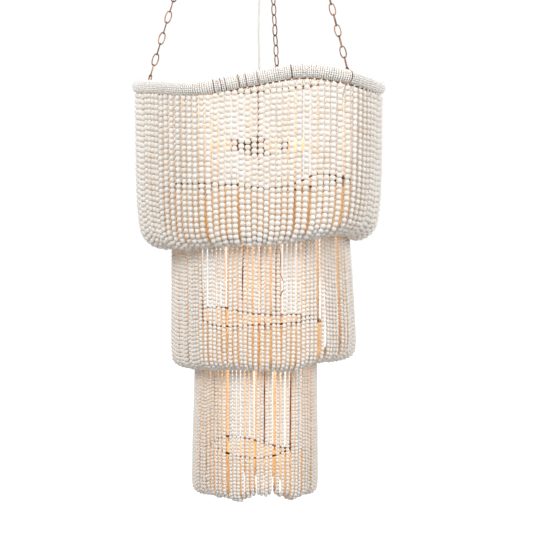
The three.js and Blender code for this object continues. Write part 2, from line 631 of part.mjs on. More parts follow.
const eyeSlots = eyes.map(({ seat, hole }) => {
  const wide = 2 * (eye.halfWidth + eye.wire + gap);
  const thin = 2 * (eye.wire + gap);
  const room = new THREE.BoxGeometry(hole.y ? wide : thin, hole.y ? thin : wide, eyeTop + thin);
  return solidOf(room.translate(seat.x, seat.y, seat.z + (eyeTop - thin) / 2));
});
addTier('tier_1_strands', {
  tier: firstTier,
  upper: topLine,
  lower: secondLine,
  cuts: firstCuts,
  winding: topWinding,
  seam: 2 * arm.radius + seamClearance,
  standOff: firstTier.bead + secondTier.bead + strandClearance,
  cutters: [ringRooms.get(topLine), ...eyeSlots],
});
addTier('tier_2_strands', {
  tier: secondTier,
  upper: secondLine,
  lower: thirdLine,
  cuts: secondCuts,
  winding: secondWinding,
  seam: 2 * (rod.radius + seamClearance),
  standOff: secondTier.bead + thirdTier.bead + strandClearance,
  cutters: [ringRooms.get(secondLine)],
});
addTier('tier_3_strands', {
  tier: thirdTier,
  upper: thirdLine,
  lower: fourthLine,
  cuts: thirdCuts,
  winding: thirdWinding,
  seam: 2 * (rod.radius + seamClearance),
  standOff: thirdTier.bead + fourthRing.wire + strandClearance,
  cutters: [ringRooms.get(thirdLine)],
});

// Power cord, in two stretches that meet beside the gathering ring. Its points are its route.
const upperCordRoute = [
  [-19.8, 19.8, -8], [-19.8, 19.8, -26], [-19.8, 19.8, -42], [-19.4, 19.4, -52], [-16.5, 16.5, -66],
  [-13, 13, -84], [-11.4, 11.4, -102], [-11, 11, -119.5],
];
const lowerCordRoute = [
  [-11, 11, -119.9], [-11, 11, -150], [-10.4, 10.6, -190], [-9.4, 9.8, -235], [-8.6, 8.6, -280],
  [-7.2, 7.2, -330], [-5.6, 6.2, -380], [-4.6, 5, -430], [-3.8, 4.2, -480], [-2.2, 3.2, -530],
  [-1.6, 2.2, -580], [-1.2, 1.2, -630], [0.2, 0.8, -680], [1, 0.2, -720], [0.4, 0, -760],
  [-0.8, 0.2, -800], [-0.2, 0.2, -840], [0.8, 0, -880], [0.6, 0, -915], [0, 0, -935],
  [0, 0, -950.7],
];
const cordRoutes = { power_cord_upper: upperCordRoute, power_cord_lower: lowerCordRoute };
for (const [name, route] of Object.entries(cordRoutes)) {
  const points = route.map(([x, y, z]) => new THREE.Vector3(x, y, z));
  addPiece(name, solidOf(tube(points, cord.diameter / 2, slimFacets)), clearCord);
}

export default pieces;
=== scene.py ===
"""The dressed scene of a three-tier beaded chandelier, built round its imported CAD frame.

All lengths are metres in the frame of the CAD part. The origin is the middle of the mounting
strap's top face, on the ceiling, with +Z up and +Y away from the camera.
"""
import json
import math

import bpy
import numpy as np
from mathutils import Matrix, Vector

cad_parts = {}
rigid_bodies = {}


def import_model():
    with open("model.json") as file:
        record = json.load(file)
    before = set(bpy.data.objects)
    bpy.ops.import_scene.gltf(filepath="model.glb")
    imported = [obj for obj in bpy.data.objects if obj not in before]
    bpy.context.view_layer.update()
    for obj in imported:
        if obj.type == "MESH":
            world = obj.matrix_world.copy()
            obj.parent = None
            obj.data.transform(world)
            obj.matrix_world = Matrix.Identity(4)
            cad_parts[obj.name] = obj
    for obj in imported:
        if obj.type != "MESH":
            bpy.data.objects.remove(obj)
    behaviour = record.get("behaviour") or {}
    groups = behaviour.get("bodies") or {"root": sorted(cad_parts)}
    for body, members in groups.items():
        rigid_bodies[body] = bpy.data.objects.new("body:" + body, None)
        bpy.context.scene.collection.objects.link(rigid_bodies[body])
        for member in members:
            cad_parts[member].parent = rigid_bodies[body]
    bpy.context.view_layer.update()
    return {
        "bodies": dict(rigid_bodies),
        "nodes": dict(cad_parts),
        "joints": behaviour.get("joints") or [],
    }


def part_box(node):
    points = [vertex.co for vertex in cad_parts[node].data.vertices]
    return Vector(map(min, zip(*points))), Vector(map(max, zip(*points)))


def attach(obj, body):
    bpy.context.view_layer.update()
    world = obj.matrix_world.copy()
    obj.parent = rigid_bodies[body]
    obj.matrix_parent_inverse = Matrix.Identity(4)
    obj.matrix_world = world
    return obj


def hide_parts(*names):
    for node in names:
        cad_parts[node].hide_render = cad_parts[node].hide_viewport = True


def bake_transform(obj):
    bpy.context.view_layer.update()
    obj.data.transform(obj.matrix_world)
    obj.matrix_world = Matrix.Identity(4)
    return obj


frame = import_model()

TURN = 2 * math.pi
# The room between parts that touch on the real object
ROOM = 0.0003

# The photograph's camera
PHOTO_WIDTH = 533
FOCAL_PIXELS = 1370
SENSOR = 36
CAMERA_PLACE = (0, -3.29, -1.068)
CAMERA_PITCH = -5.3
CAMERA_YAW = 0.314

# The power cord's two stretches, by their middle line
CORD_DIAMETER = 0.004
UPPER_CORD_ROUTE = [
    (-0.0198, 0.0198, -0.008), (-0.0198, 0.0198, -0.026), (-0.0198, 0.0198, -0.042),
    (-0.0194, 0.0194, -0.052), (-0.0165, 0.0165, -0.066), (-0.013, 0.013, -0.084),
    (-0.0114, 0.0114, -0.102), (-0.011, 0.011, -0.1195),
]
LOWER_CORD_ROUTE = [
    (-0.011, 0.011, -0.1199), (-0.011, 0.011, -0.15), (-0.0104, 0.0106, -0.19),
    (-0.0094, 0.0098, -0.235), (-0.0086, 0.0086, -0.28), (-0.0072, 0.0072, -0.33),
    (-0.0056, 0.0062, -0.38), (-0.0046, 0.005, -0.43), (-0.0038, 0.0042, -0.48),
    (-0.0022, 0.0032, -0.53), (-0.0016, 0.0022, -0.58), (-0.0012, 0.0012, -0.63),
    (0.0002, 0.0008, -0.68), (0.001, 0.0002, -0.72), (0.0004, 0, -0.76),
    (-0.0008, 0.0002, -0.8), (-0.0002, 0.0002, -0.84), (0.0008, 0, -0.88),
    (0.0006, 0, -0.915), (0, 0, -0.935), (0, 0, -0.9507),
]


def numbered(columns, *rows):
    """Tables of named values, numbered from 1."""
    return {number: dict(zip(columns, row)) for number, row in enumerate(rows, 1)}


# The rings, where wire is the wire's radius
RINGS = numbered(
    ("half_width", "half_depth", "drop", "wave", "wire"),
    (0.283, 0.222, 0.932, 0.024, 0.004),
    (0.206, 0.164, 1.172, 0.020, 0.002),
    (0.140, 0.120, 1.497, 0.012, 0.002),
    (0.101, 0.095, 1.814, 0.022, 0.002),
)

# Points round each ring as shares of half width, half depth and wave, then of the wave of the hem
# below and of that tier's flare
RING_SHARES = {
    1: [
        (-0.48, -0.93, -0.96, -0.15, 0), (-0.07, -0.93, -0.08, 0.05, 0), (0.35, -0.94, 0.70, 0.6, 0),
        (0.69, -0.90, 0.20, 1.0, 0), (0.925, -0.56, -0.50, 1.0, 0), (1.0, -0.13, -0.62, 0.4, 0),
        (0.93, 0.38, 0.10, 0.4, 0), (0.67, 0.80, 0.95, 0.3, 0), (0.25, 0.98, 0.10, 0.1, 0),
        (-0.25, 0.96, -0.15, -0.2, 0), (-0.67, 0.77, -0.25, -0.6, 0), (-0.93, 0.36, -0.42, -0.9, 0),
        (-1.0, -0.17, -0.50, -0.9, 0), (-0.83, -0.60, -0.67, -0.6, 0),
    ],
    2: [
        (-0.68, -0.90, -0.30, 0.0, 0), (-0.34, -1.0, 0.05, 0.3, 0), (0.05, -1.0, -0.35, 0.0, 0),
        (0.41, -0.95, -0.50, -0.4, 0), (0.64, -0.80, 0.0, 0.7, 0.2), (0.86, -0.48, 0.40, 1.0, 0.6),
        (1.0, 0.0, 0.70, 0.1, 1.0), (0.92, 0.45, 0.75, 0.1, 0.5), (0.70, 0.74, 0.95, 0.0, 0.1),
        (0.44, 0.92, -0.30, 0.0, 0), (0.10, 1.0, -0.95, -0.2, 0), (-0.29, 0.94, -0.35, -0.3, 0),
        (-0.68, 0.79, -0.20, -0.6, 0.1), (-0.92, 0.45, -0.20, -1.0, 0.2), (-1.0, -0.03, -0.20, -1.2, 0.2),
        (-0.88, -0.5, -0.20, -0.4, 0.1),
    ],
    3: [
        (-0.74, -0.80, -0.45, -0.2, 0.2), (-0.48, -0.95, -0.50, -0.4, 0), (-0.02, -1.0, -0.10, 0.7, 0),
        (0.41, -0.95, 0.0, 0.4, 0), (0.72, -0.72, 0.1, -0.5, 0.2), (0.92, -0.28, -0.10, -1.0, 0.4),
        (0.95, 0.27, -0.35, -0.9, 0.4), (0.75, 0.76, -0.40, -0.5, 0.1), (0.28, 0.97, -0.70, 0.0, 0),
        (-0.18, 0.98, -0.35, 0.0, 0), (-0.62, 0.83, 1.0, -0.3, 0.4), (-0.97, 0.38, 1.5, -0.9, 0.8),
        (-1.05, -0.07, 0.75, -1.2, 1.0), (-0.97, -0.45, 0.25, -0.8, 0.8),
    ],
    4: [
        (-0.92, -0.53, 0.15, 0, 0), (-0.60, -0.86, -0.10, 0, 0), (-0.17, -1.0, -0.30, 0, 0),
        (0.29, -0.95, -0.15, 0, 0), (0.70, -0.70, 0.30, 0, 0), (0.95, -0.25, 0.20, 0, 0),
        (0.93, 0.32, -0.45, 0, 0), (0.64, 0.78, -0.95, 0, 0), (0.15, 1.0, -0.60, 0, 0),
        (-0.35, 0.96, 0.05, 0, 0), (-0.80, 0.66, 0.50, 0, 0), (-1.05, 0.08, 0.55, 0, 0),
    ],
}

# Bearings in degrees of the joins between each tier's slices, as in the CAD part
CUTS = {
    1: [92, 145, 194.5, 260, 322, 377],
    2: [74, 138, 187, 227, 307, 338, 375],
    3: [16, 83.5, 168, 219, 306],
}

# The tiers: number of strands, bead width and length, spacing along the strand, level and wave of
# the hem, how far the tops stand out, the flare, how far the inner ends stand out from the inner
# ring, and how loosely the hems hang
TIERS = numbered(
    ("count", "wide", "long", "pitch", "hem", "wave", "outset", "flare", "stand_off", "loose"),
    (107, 0.0143, 0.0124, 0.0124, 1.308, 0.018, 0.0024, 0, 0.0125, 0.0015),
    (99, 0.0102, 0.0095, 0.0095, 1.602, 0.010, -0.0028, 0.031, 0.0100, 0.0018),
    (76, 0.0093, 0.0085, 0.0085, 1.912, 0.012, 0.0006, 0.014, 0.0072, 0.0022),
)

# How each tier's strands turn at the hem: the height of the round turn, the share of the way inward
# that they have leaned before it, and the height over which they lean
TURNS = {1: (0.036, 0.34, 0.046), 2: (0.023, 0.14, 0.024), 3: (0.021, 0.12, 0.022)}

# The line of lowest beads that the camera sees under each tier, on an upright plane in front of the
# axis: how far in front, and the line's points as place across and drop
HEM_LINES = {
    1: (0.205, [(-0.268, 1.304), (-0.233, 1.314), (-0.173, 1.3175), (-0.141, 1.317), (-0.072, 1.313),
                (0.037, 1.311), (0.073, 1.303), (0.114, 1.295), (0.15, 1.291), (0.182, 1.287),
                (0.198, 1.287), (0.21, 1.295), (0.226, 1.301), (0.255, 1.306)]),
    2: (0.16, [(-0.196, 1.583), (-0.168, 1.591), (-0.136, 1.5965), (-0.095, 1.601), (-0.055, 1.5985),
               (-0.01, 1.601), (0.031, 1.605), (0.071, 1.605), (0.095, 1.595), (0.124, 1.581),
               (0.209, 1.577)]),
    3: (0.11, [(-0.164, 1.888), (-0.147, 1.894), (-0.128, 1.903), (-0.085, 1.911), (-0.052, 1.926),
               (-0.019, 1.913), (0.025, 1.907), (0.052, 1.911), (0.075, 1.920), (0.098, 1.906),
               (0.144, 1.900)]),
}

# Where the strands part in front: the place across, and how far either side of it moves away at the
# ring and at the hem
GAPS = {
    1: [(-0.216, 0, 0.0015), (-0.174, 0, 0.001), (-0.1207, 0, 0.0022), (-0.0757, 0, 0.0012),
        (-0.0475, 0, 0.0015), (0, 0.0045, 0), (0.0268, 0, 0.0012), (0.051, 0, 0.0008), (0.067, 0, 0.0004),
        (0.083, 0, 0.001), (0.117, 0, 0.002), (0.1757, 0, 0.0015), (0.1896, 0, 0.0018)],
    2: [(-0.187, 0.002, 0.004), (-0.166, 0.0035, 0.007), (-0.1437, 0.002, 0.001), (-0.0737, 0.003, 0.001),
        (-0.038, 0.0035, 0.001), (-0.0159, 0.003, 0.001), (0.0525, 0.0045, 0.0015),
        (0.0705, 0.001, 0.002), (0.137, 0.004, 0.002), (0.151, 0.001, 0.003), (0.1767, 0.007, 0.004),
        (0.191, 0.001, 0.002)],
    3: [(-0.132, 0.001, 0.002), (-0.112, 0.001, 0.001), (-0.0734, 0.003, 0.002),
        (-0.045, 0.001, 0.001), (-0.01, 0.004, 0.002), (0.0128, 0.002, 0.001),
        (0.0355, 0.002, 0.002), (0.0616, 0.001, 0.001), (0.0739, 0.002, 0.001),
        (0.0966, 0.001, 0.002), (0.118, 0.001, 0.002)],
}


def in_scene(name, data):
    """A new object in the scene."""
    made = bpy.data.objects.new(name, data)
    bpy.context.scene.collection.objects.link(made)
    return made


def make_camera():
    """The camera stands where the photograph was taken from."""
    data = bpy.data.cameras.new("camera")
    data.sensor_width = SENSOR
    data.lens = FOCAL_PIXELS / PHOTO_WIDTH * SENSOR
    camera = in_scene("camera", data)
    camera.location = CAMERA_PLACE
    camera.rotation_euler = (math.radians(90 + CAMERA_PITCH), 0, -math.radians(CAMERA_YAW))
    bpy.context.scene.camera = camera


class Shade:
    """The node tree of a material or world, with short ways to add and join nodes."""

    def __init__(self, name, kind="materials", shader="Principled BSDF", **values):
        """A new one, whose shader has these values, with _ for each space in an input's name."""
        self.made = getattr(bpy.data, kind).new(name)
        self.made.use_nodes = True
        self.tree = self.made.node_tree
        self.shader = self.tree.nodes[shader]
        for key, value in values.items():
            self.put(key.replace("_", " "), value)

    def node(self, kind, **settings):
        """A new node, with values for its inputs by name and settings for the rest."""
        made = self.tree.nodes.new("ShaderNode" + kind)
        for key, value in settings.items():
            if key in made.inputs:
                made.inputs[key].default_value = value
            else:
                setattr(made, key, value)
        return made

    def join(self, source, socket):
        """Joins an input to a socket, or sets it to a plain value."""
        if isinstance(source, bpy.types.NodeSocket):
            self.tree.links.new(source, socket)
        else:
            socket.default_value = source

    def put(self, name, source):
        """Joins or sets one of the shader's inputs."""
        self.join(source, self.shader.inputs[name])

    def noise(self, scale, detail=3.0, stretch=(1, 1, 1)):
        """Noise in the piece's own space, with its features stretched along the axes."""
        place = self.node("TexCoord")
        mapping = self.node("Mapping", Scale=stretch)
        texture = self.node("TexNoise", Scale=scale, Detail=detail)
        self.join(place.outputs["Object"], mapping.inputs["Vector"])
        self.join(mapping.outputs["Vector"], texture.inputs["Vector"])
        return texture.outputs["Fac"]

    def ramp(self, value, stops):
        """A colour ramp through (place, colour) stops."""
        ramp = self.node("ValToRGB")
        points = ramp.color_ramp.elements
        while len(points) < len(stops):
            points.new(0.5)
        for point, (place, colour) in zip(points, stops):
            point.position = place
            point.color = (*colour, 1)
        self.join(value, ramp.inputs["Fac"])
        return ramp.outputs["Color"]

    def weighed(self, total, *terms):
        """A number, plus sockets that are each times a weight."""
        for term in terms:
            added = self.node("Math", operation="MULTIPLY_ADD")
            for source, socket in zip((*term, total), added.inputs):
                self.join(source, socket)
            total = added.outputs["Value"]
        return total

    def seen(self, weight):
        """The weight where the camera sees this, also in gloss or through glass, and else 0."""
        path = self.node("LightPath")
        return self.weighed(0, *((path.outputs[f"Is {kind} Ray"], weight)
                                 for kind in ("Camera", "Glossy", "Transmission")))

    def bump(self, height, strength, distance):
        """Fine relief from a height socket."""
        bump = self.node("Bump", Strength=strength, Distance=distance)
        self.join(height, bump.inputs["Height"])
        self.put("Normal", bump.outputs["Normal"])

    def tone(self):
        """The share that each bead carries, from 0 to 1."""
        return self.node("Attribute", attribute_name="tone").outputs["Fac"]


def bead_wood(name, pale, warm, roughness, glow=0):
    """Whitewashed turned wood: a chalky coat that lets some grain and some darker beads through.
    glow is the strength of a painted glow: warm emission that stands in for the lamps' light on the wood."""
    shade = Shade(name)
    grain = shade.noise(900, 4, (1, 1, 0.25))
    patches = shade.noise(160, 2)
    share = shade.weighed(0, (shade.tone(), 0.55), (patches, 0.35), (grain, 0.25))
    shade.put("Base Color", shade.ramp(share, [(0.2, pale), (0.95, warm)]))
    shade.put("Roughness", shade.weighed(roughness, (patches, 0.2)))
    # Painted glow: warm emission in place of the bulbs' light falling on the beads inside
    if glow:
        painted_lamplight_colour = shade.ramp(patches, [(0.3, (1.0, 0.45, 0.10)), (0.7, (1.0, 0.54, 0.18))])
        shade.put("Emission Color", painted_lamplight_colour)
        shade.put("Emission Strength", glow)
    shade.bump(grain, 0.25, 0.0003)
    return shade.made


def worn_metal(name, dark, bright, roughness, metallic=0.85):
    """Hand-rubbed metal: a dark patina that is rubbed brighter in patches."""
    shade = Shade(name, Metallic=metallic)
    rub = shade.noise(55, 6)
    fine = shade.noise(700, 3)
    share = shade.weighed(0, (rub, 0.8), (fine, 0.25))
    shade.put("Base Color", shade.ramp(share, [(0.4, dark), (0.68, bright)]))
    shade.put("Roughness", shade.weighed(roughness, (rub, 0.25)))
    shade.bump(fine, 0.2, 0.0002)
    return shade.made


def bulb_glass():
    """Frosted lamp glass that glows warm, its warmth varying in patches."""
    shade = Shade("warm_bulb_glass", Emission_Strength=0.45, Roughness=0.25)
    colour = shade.ramp(shade.noise(400, 2), [(0.3, (1.0, 0.74, 0.44)), (0.8, (1.0, 0.84, 0.60))])
    shade.put("Base Color", colour)
    shade.put("Emission Color", colour)
    return shade.made


def soft_stuff(name, coarse, dark, bright, fine, relief, **values):
    """Jacket, thread or rubber: coarse noise between two colours, and relief from fine noise."""
    shade = Shade(name, **values)
    shade.put("Base Color", shade.ramp(shade.noise(*coarse), [dark, bright]))
    shade.bump(shade.noise(*fine), *relief)
    return shade.made


def thread_fibre(name, dark, bright):
    """Twisted thread, with fine streaks along it."""
    streaks = (1500, 4)
    return soft_stuff(name, streaks, (0.35, dark), (0.65, bright), streaks, (0.4, 0.0003), Roughness=0.85)


BEADS = bead_wood("whitewashed_beads", (0.90, 0.88, 0.855), (0.80, 0.71, 0.60), 0.45)
# A copy of the bead finish for the beads that rise inside: its warmer colours and its glow are painted
# lamplight from the bulbs
PAINTED_LAMPLIT_BEADS = bead_wood("whitewashed_beads_painted_lamplight", (0.90, 0.82, 0.71), (0.80, 0.62, 0.43), 0.45,
                      glow=0.22)
SEED_BEADS = bead_wood("whitewashed_seed_beads", (0.97, 0.955, 0.93), (0.87, 0.82, 0.76), 0.4)
BRONZE = worn_metal("antique_bronze", (0.10, 0.050, 0.028), (0.40, 0.22, 0.13), 0.32)
DARK_BRONZE = worn_metal("dark_bronze", (0.12, 0.05, 0.022), (0.30, 0.14, 0.07), 0.36)
PALE_STEEL = worn_metal("pale_steel", (0.62, 0.58, 0.53), (0.80, 0.77, 0.72), 0.4, metallic=0.3)
GLASS = bulb_glass()
JACKET = soft_stuff("pale_cord_jacket", (60, 3), (0.3, (0.72, 0.71, 0.68)), (0.7, (0.82, 0.81, 0.79)),
                    (500, 2), (0.1, 0.0002), Roughness=0.3, Transmission_Weight=0.35)
THREAD = thread_fibre("waxed_thread", (0.16, 0.09, 0.05), (0.32, 0.20, 0.12))
PALE_THREAD = thread_fibre("pale_core_thread", (0.50, 0.45, 0.40), (0.68, 0.63, 0.57))
DARK_THREAD = thread_fibre("dark_winding_thread", (0.085, 0.036, 0.017), (0.22, 0.105, 0.052))
RUBBER = soft_stuff("soft_black_rubber", (300, 4), (0.3, (0.02, 0.02, 0.02)),
                    (0.8, (0.05, 0.048, 0.045)), (300, 4), (0.15, 0.0003), Roughness=0.7)


class Form:
    """Closed parts that are put together into one piece. A part is its points and its faces."""

    def __init__(self, *parts):
        """A form of these parts, to which more can be added."""
        self.points = []
        self.corners = []
        self.sizes = []
        self.tones = []
        self.count = 0
        for part in parts:
            self.add(*part)

    def add(self, points, faces, tone=0.5):
        """One part, with its faces in groups that have as many corners each."""
        for group in faces:
            group = np.asarray(group)
            self.corners.append((group + self.count).ravel())
            self.sizes.append(np.full(len(group), group.shape[1]))
        self.points.append(np.asarray(points, float))
        self.tones.append(np.full(len(points), tone))
        self.count += len(points)

    def add_copies(self, points, faces, places, turns, tones):
        """Copies of one part, each turned and moved to its place."""
        copies = len(places)
        if not copies:
            return
        for group in faces:
            group = np.asarray(group)
            shifts = self.count + len(points) * np.arange(copies)
            self.corners.append((group[None] + shifts[:, None, None]).ravel())
            self.sizes.append(np.full(copies * len(group), group.shape[1]))
        moved = np.einsum("cij,pj->cpi", turns, points) + places[:, None]
        self.points.append(moved.reshape(-1, 3))
        self.tones.append(np.repeat(tones, len(points)))
        self.count += copies * len(points)

    def make(self, name, material, slot, nodes=(), body="chandelier"):
        """The Blender piece, which rides on its body and stands for its CAD nodes."""
        corners = np.concatenate(self.corners)
        sizes = np.concatenate(self.sizes)
        mesh = bpy.data.meshes.new(name)
        mesh.vertices.add(self.count)
        mesh.vertices.foreach_set("co", np.concatenate(self.points).ravel())
        mesh.loops.add(len(corners))
        mesh.loops.foreach_set("vertex_index", corners)
        mesh.polygons.add(len(sizes))
        mesh.polygons.foreach_set("loop_start", np.concatenate([[0], np.cumsum(sizes)[:-1]]))
        mesh.polygons.foreach_set("loop_total", sizes)
        mesh.update(calc_edges=True)
        tone = mesh.attributes.new("tone", "FLOAT", "POINT")
        tone.data.foreach_set("value", np.concatenate(self.tones))
        mesh.polygons.foreach_set("use_smooth", np.full(len(sizes), True))
        mesh.materials.append(material)
        piece = in_scene(name, mesh)
        if nodes:
            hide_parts(*nodes)
        if body:
            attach(piece, body)
        return piece


def unit(vectors):
    """Vectors of length 1."""
    return vectors / np.linalg.norm(vectors, axis=-1, keepdims=True)


def spokes(angle, across, upward):
    """Directions at angles in the plane of two directions."""
    return np.cos(angle)[..., None] * across + np.sin(angle)[..., None] * upward


def read_off(places, starts, table):
    """What each column of a table is at places along the way."""
    return np.stack([np.interp(places, starts, column) for column in table.T], axis=-1)


def quads_between(rings, sides, closed):
    """The faces between rings of points that follow one another."""
    ring = np.arange(rings if closed else rings - 1)
    side = np.arange(sides)
    here = ring[:, None] * sides
    there = ((ring + 1) % rings)[:, None] * sides
    beside = (side + 1) % sides
    quads = np.stack([here + side, here + beside, there + beside, there + side], axis=-1)
    return quads.reshape(-1, 4)


def tube(path, radius, sides, closed=False):
    """The points and faces of a round tube along a path, with radius one number or one a point."""
    path = np.asarray(path, float)
    count = len(path)
    if closed:
        along = unit(np.roll(path, -1, axis=0) - np.roll(path, 1, axis=0))
    else:
        along = unit(np.gradient(path, axis=0))
    normals = np.empty_like(path)
    normal = np.cross(along[0], (0, 0, 1) if abs(along[0][2]) < 0.9 else (0, 1, 0))
    for place in range(count):
        normal = normal - along[place] * normal.dot(along[place])
        normal = normal / np.linalg.norm(normal)
        normals[place] = normal
    across = np.cross(along, normals)
    twist = np.zeros(count)
    if closed:
        carried = normals[-1] - along[0] * normals[-1].dot(along[0])
        slip = math.atan2(carried.dot(across[0]), carried.dot(normals[0]))
        twist = -slip * np.arange(count) / count
    angle = twist[:, None] + TURN * np.arange(sides) / sides
    radii = np.broadcast_to(radius, count)[:, None, None]
    points = path[:, None] + radii * spokes(angle, normals[:, None], across[:, None])
    faces = [quads_between(count, sides, closed)]
    if not closed:
        last = (count - 1) * sides
        faces.append(np.array([np.arange(sides)[::-1], last + np.arange(sides)]))
    return points.reshape(-1, 3), faces


def lathe(outline, sides):
    """The points and faces of a body turned about Z, from (radius, height) points on its outside
    from foot to head. Points on the axis close it."""
    rings = []
    groups = []
    count = 0
    for radius, height in outline:
        if radius == 0:
            rings.append((count, 1))
            groups.append(np.array([[0, 0, height]]))
            count += 1
            continue
        rings.append((count, sides))
        groups.append(circle((0, 0, height), radius, (1, 0, 0), (0, 1, 0), sides))
        count += sides
    quads = []
    triangles = []
    side = np.arange(sides)
    beside = (side + 1) % sides
    for (low, low_size), (high, high_size) in zip(rings, rings[1:]):
        if low_size == 1:
            triangles.append(np.stack([np.full(sides, low), high + beside, high + side], axis=-1))
        elif high_size == 1:
            triangles.append(np.stack([low + side, low + beside, np.full(sides, high)], axis=-1))
        else:
            quads.append(np.stack([low + side, low + beside, high + beside, high + side], axis=-1))
    faces = [np.concatenate(group) for group in (quads, triangles) if group]
    return np.concatenate(groups), faces


def steps_from(radius, height, *steps):
    """Points of an outline, each so many millimetres in from a radius and up from a height."""
    return [(radius - inward / 1000, height + up / 1000) for inward, up in steps]


def turned_to(points, axis, place):
    """Points modelled along +Z, turned to point along an axis and moved to a place."""
    side = unit(np.cross((0, 0, 1), axis)) if abs(axis[2]) < 0.999 else np.array([1.0, 0, 0])
    frame_axes = np.stack([side, np.cross(axis, side), axis], axis=-1)
    return points @ frame_axes.T + np.asarray(place)


def circle(centre, radius, across, upward=(0, 0, 1), steps=64):
    """The points of a closed circle, in the plane of the two directions given."""
    return centre + radius * spokes(TURN * np.arange(steps) / steps, across, upward)


# Steps of a ring's line between two of its points, and half of the runs over which its directions
# are measured
STEPS_BETWEEN = 60
RUN = {"level": 0.003, "along": 0.002}


class RingLine:
    """A ring's middle line, smooth through its points, walked by distance or found by bearing."""

    def __init__(self, number):
        """The line of one of the four rings."""
        ring = RINGS[number]
        self.wire = ring["wire"]
        shares = np.array(RING_SHARES[number])
        knots = shares[:, :3] * (ring["half_width"], ring["half_depth"], ring["wave"])
        knots[:, 2] -= ring["drop"]
        step = (np.arange(STEPS_BETWEEN) / STEPS_BETWEEN)[:, None]
        before, after, beyond = (np.roll(knots, shift, axis=0) for shift in (1, -1, -2))
        points = []
        extras = []
        for place, here in enumerate(knots):
            start = (after[place] - before[place]) / 2
            end = (beyond[place] - here) / 2
            rise = after[place] - here
            cubic = (start + end - 2 * rise) * step**3 + (3 * rise - 2 * start - end) * step**2
            points.append(cubic + start * step + here)
            ahead = shares[(place + 1) % len(shares), 3:]
            extras.append(shares[place, 3:] + step * (ahead - shares[place, 3:]))
        points = np.concatenate(points)
        self.table = np.concatenate([points, np.concatenate(extras)], axis=1)
        self.table = np.concatenate([self.table, self.table[:1]])
        steps = np.linalg.norm(np.diff(self.table[:, :3], axis=0), axis=1)
        self.starts = np.concatenate([[0], np.cumsum(steps)])
        self.length = self.starts[-1]
        self.bearings = np.degrees(np.unwrap(np.arctan2(self.table[:, 1], self.table[:, 0])))

    def at(self, distance):
        """(x, y, z, hem wave share, flare share) at one distance or several."""
        return read_off(np.mod(distance, self.length), self.starts, self.table)

    def point(self, distance):
        """(x, y, z) at one distance or several."""
        return self.at(distance)[..., :3]

    def outward(self, distance):
        """The level direction that points out of the ring."""
        run = self.point(distance + RUN["level"]) - self.point(distance - RUN["level"])
        return unit(np.stack([run[..., 1], -run[..., 0], np.zeros_like(run[..., 0])], axis=-1))

    def distance_at(self, bearing):
        """The distance at which the line crosses a bearing in degrees."""
        lap = np.mod(bearing - self.bearings[0], 360) + self.bearings[0]
        return np.interp(lap, self.bearings, self.starts)

    def at_bearing(self, bearing):
        """(x, y, z) where the line crosses a bearing in degrees."""
        return self.point(self.distance_at(bearing))

    def front_at(self, across):
        """The distance at which the front of the line lies at a place across."""
        front = self.table[:, 1] < 0
        best = np.argmin(np.where(front, np.abs(self.table[:, 0] - across), np.inf))
        return self.starts[best]


LINES = {number: RingLine(number) for number in RINGS}


def bead(sides, latitudes):
    """A round bead of width 1 and length 1 along Z, flattened at its two holes."""
    angle = TURN * np.arange(sides) / sides
    rings = []
    for latitude in np.radians(latitudes):
        ring = [np.cos(angle) * math.cos(latitude), np.sin(angle) * math.cos(latitude),
                np.full(sides, math.sin(latitude) / math.sin(math.radians(latitudes[-1])))]
        rings.append(np.stack(ring, axis=-1) / 2)
    last = (len(latitudes) - 1) * sides
    ends = np.array([np.arange(sides)[::-1], last + np.arange(sides)])
    return np.concatenate(rings), [quads_between(len(latitudes), sides, False), ends]


# Beads that the camera sees, those that rise inside, and those of wrapping and knots
FULL_BEAD = bead(8, (-64, -33, 0, 33, 64))
PLAIN_BEAD = bead(6, (-62, -24, 24, 62))
SEED_BEAD = bead(6, (-60, 0, 60))


def frames_along(along, spin):
    """Turning matrices whose Z column lies along a direction, spun about it."""
    side = unit(np.cross(along, (0.31, 0.95, 0.05)))
    first = spokes(spin, side, np.cross(along, side))
    return np.stack([first, np.cross(along, first), along], axis=-1)


def smoothed(points, rounds):
    """A line with its corners cut again and again, which keeps its two ends."""
    for _ in range(rounds):
        low = points[:-1] * 0.75 + points[1:] * 0.25
        high = points[:-1] * 0.25 + points[1:] * 0.75
        middle = np.stack([low, high], axis=1).reshape(-1, 3)
        points = np.concatenate([points[:1], middle, points[-1:]])
    return points


# Where a strand's line has points: shares of the way down, heights over the hem as shares of the
# turn's, the least of them that a point of the way down needs, then at the foot shares of the way
# inward with heights as shares of half a bead, and shares of the way up inside
DROP_SHARES = (0, 0.14, 0.28, 0.42, 0.56, 0.7)
CORNER_STEPS = (2.6, 1.9, 1.4, 1.1, 0.9, 0.72, 0.55, 0.4, 0.27, 0.16, 0.08, 0.02)
CLEAR_STEP = 2.9
FOOT_STEPS = ((0.97, 0.5), (1, 1.6))
RISE_SHARES = (0.3, 0.65, 0.9, 1)
# The share of the way inward that the round turn takes, the share at which a strand is lowest, how
# quickly a strand comes to its full flare, and the power by which it sways
TURNED_SHARE = 0.9
FOOT_SHARE = 0.85
FLARE_HASTE = 1.12
SWAY_POWER = 1.5


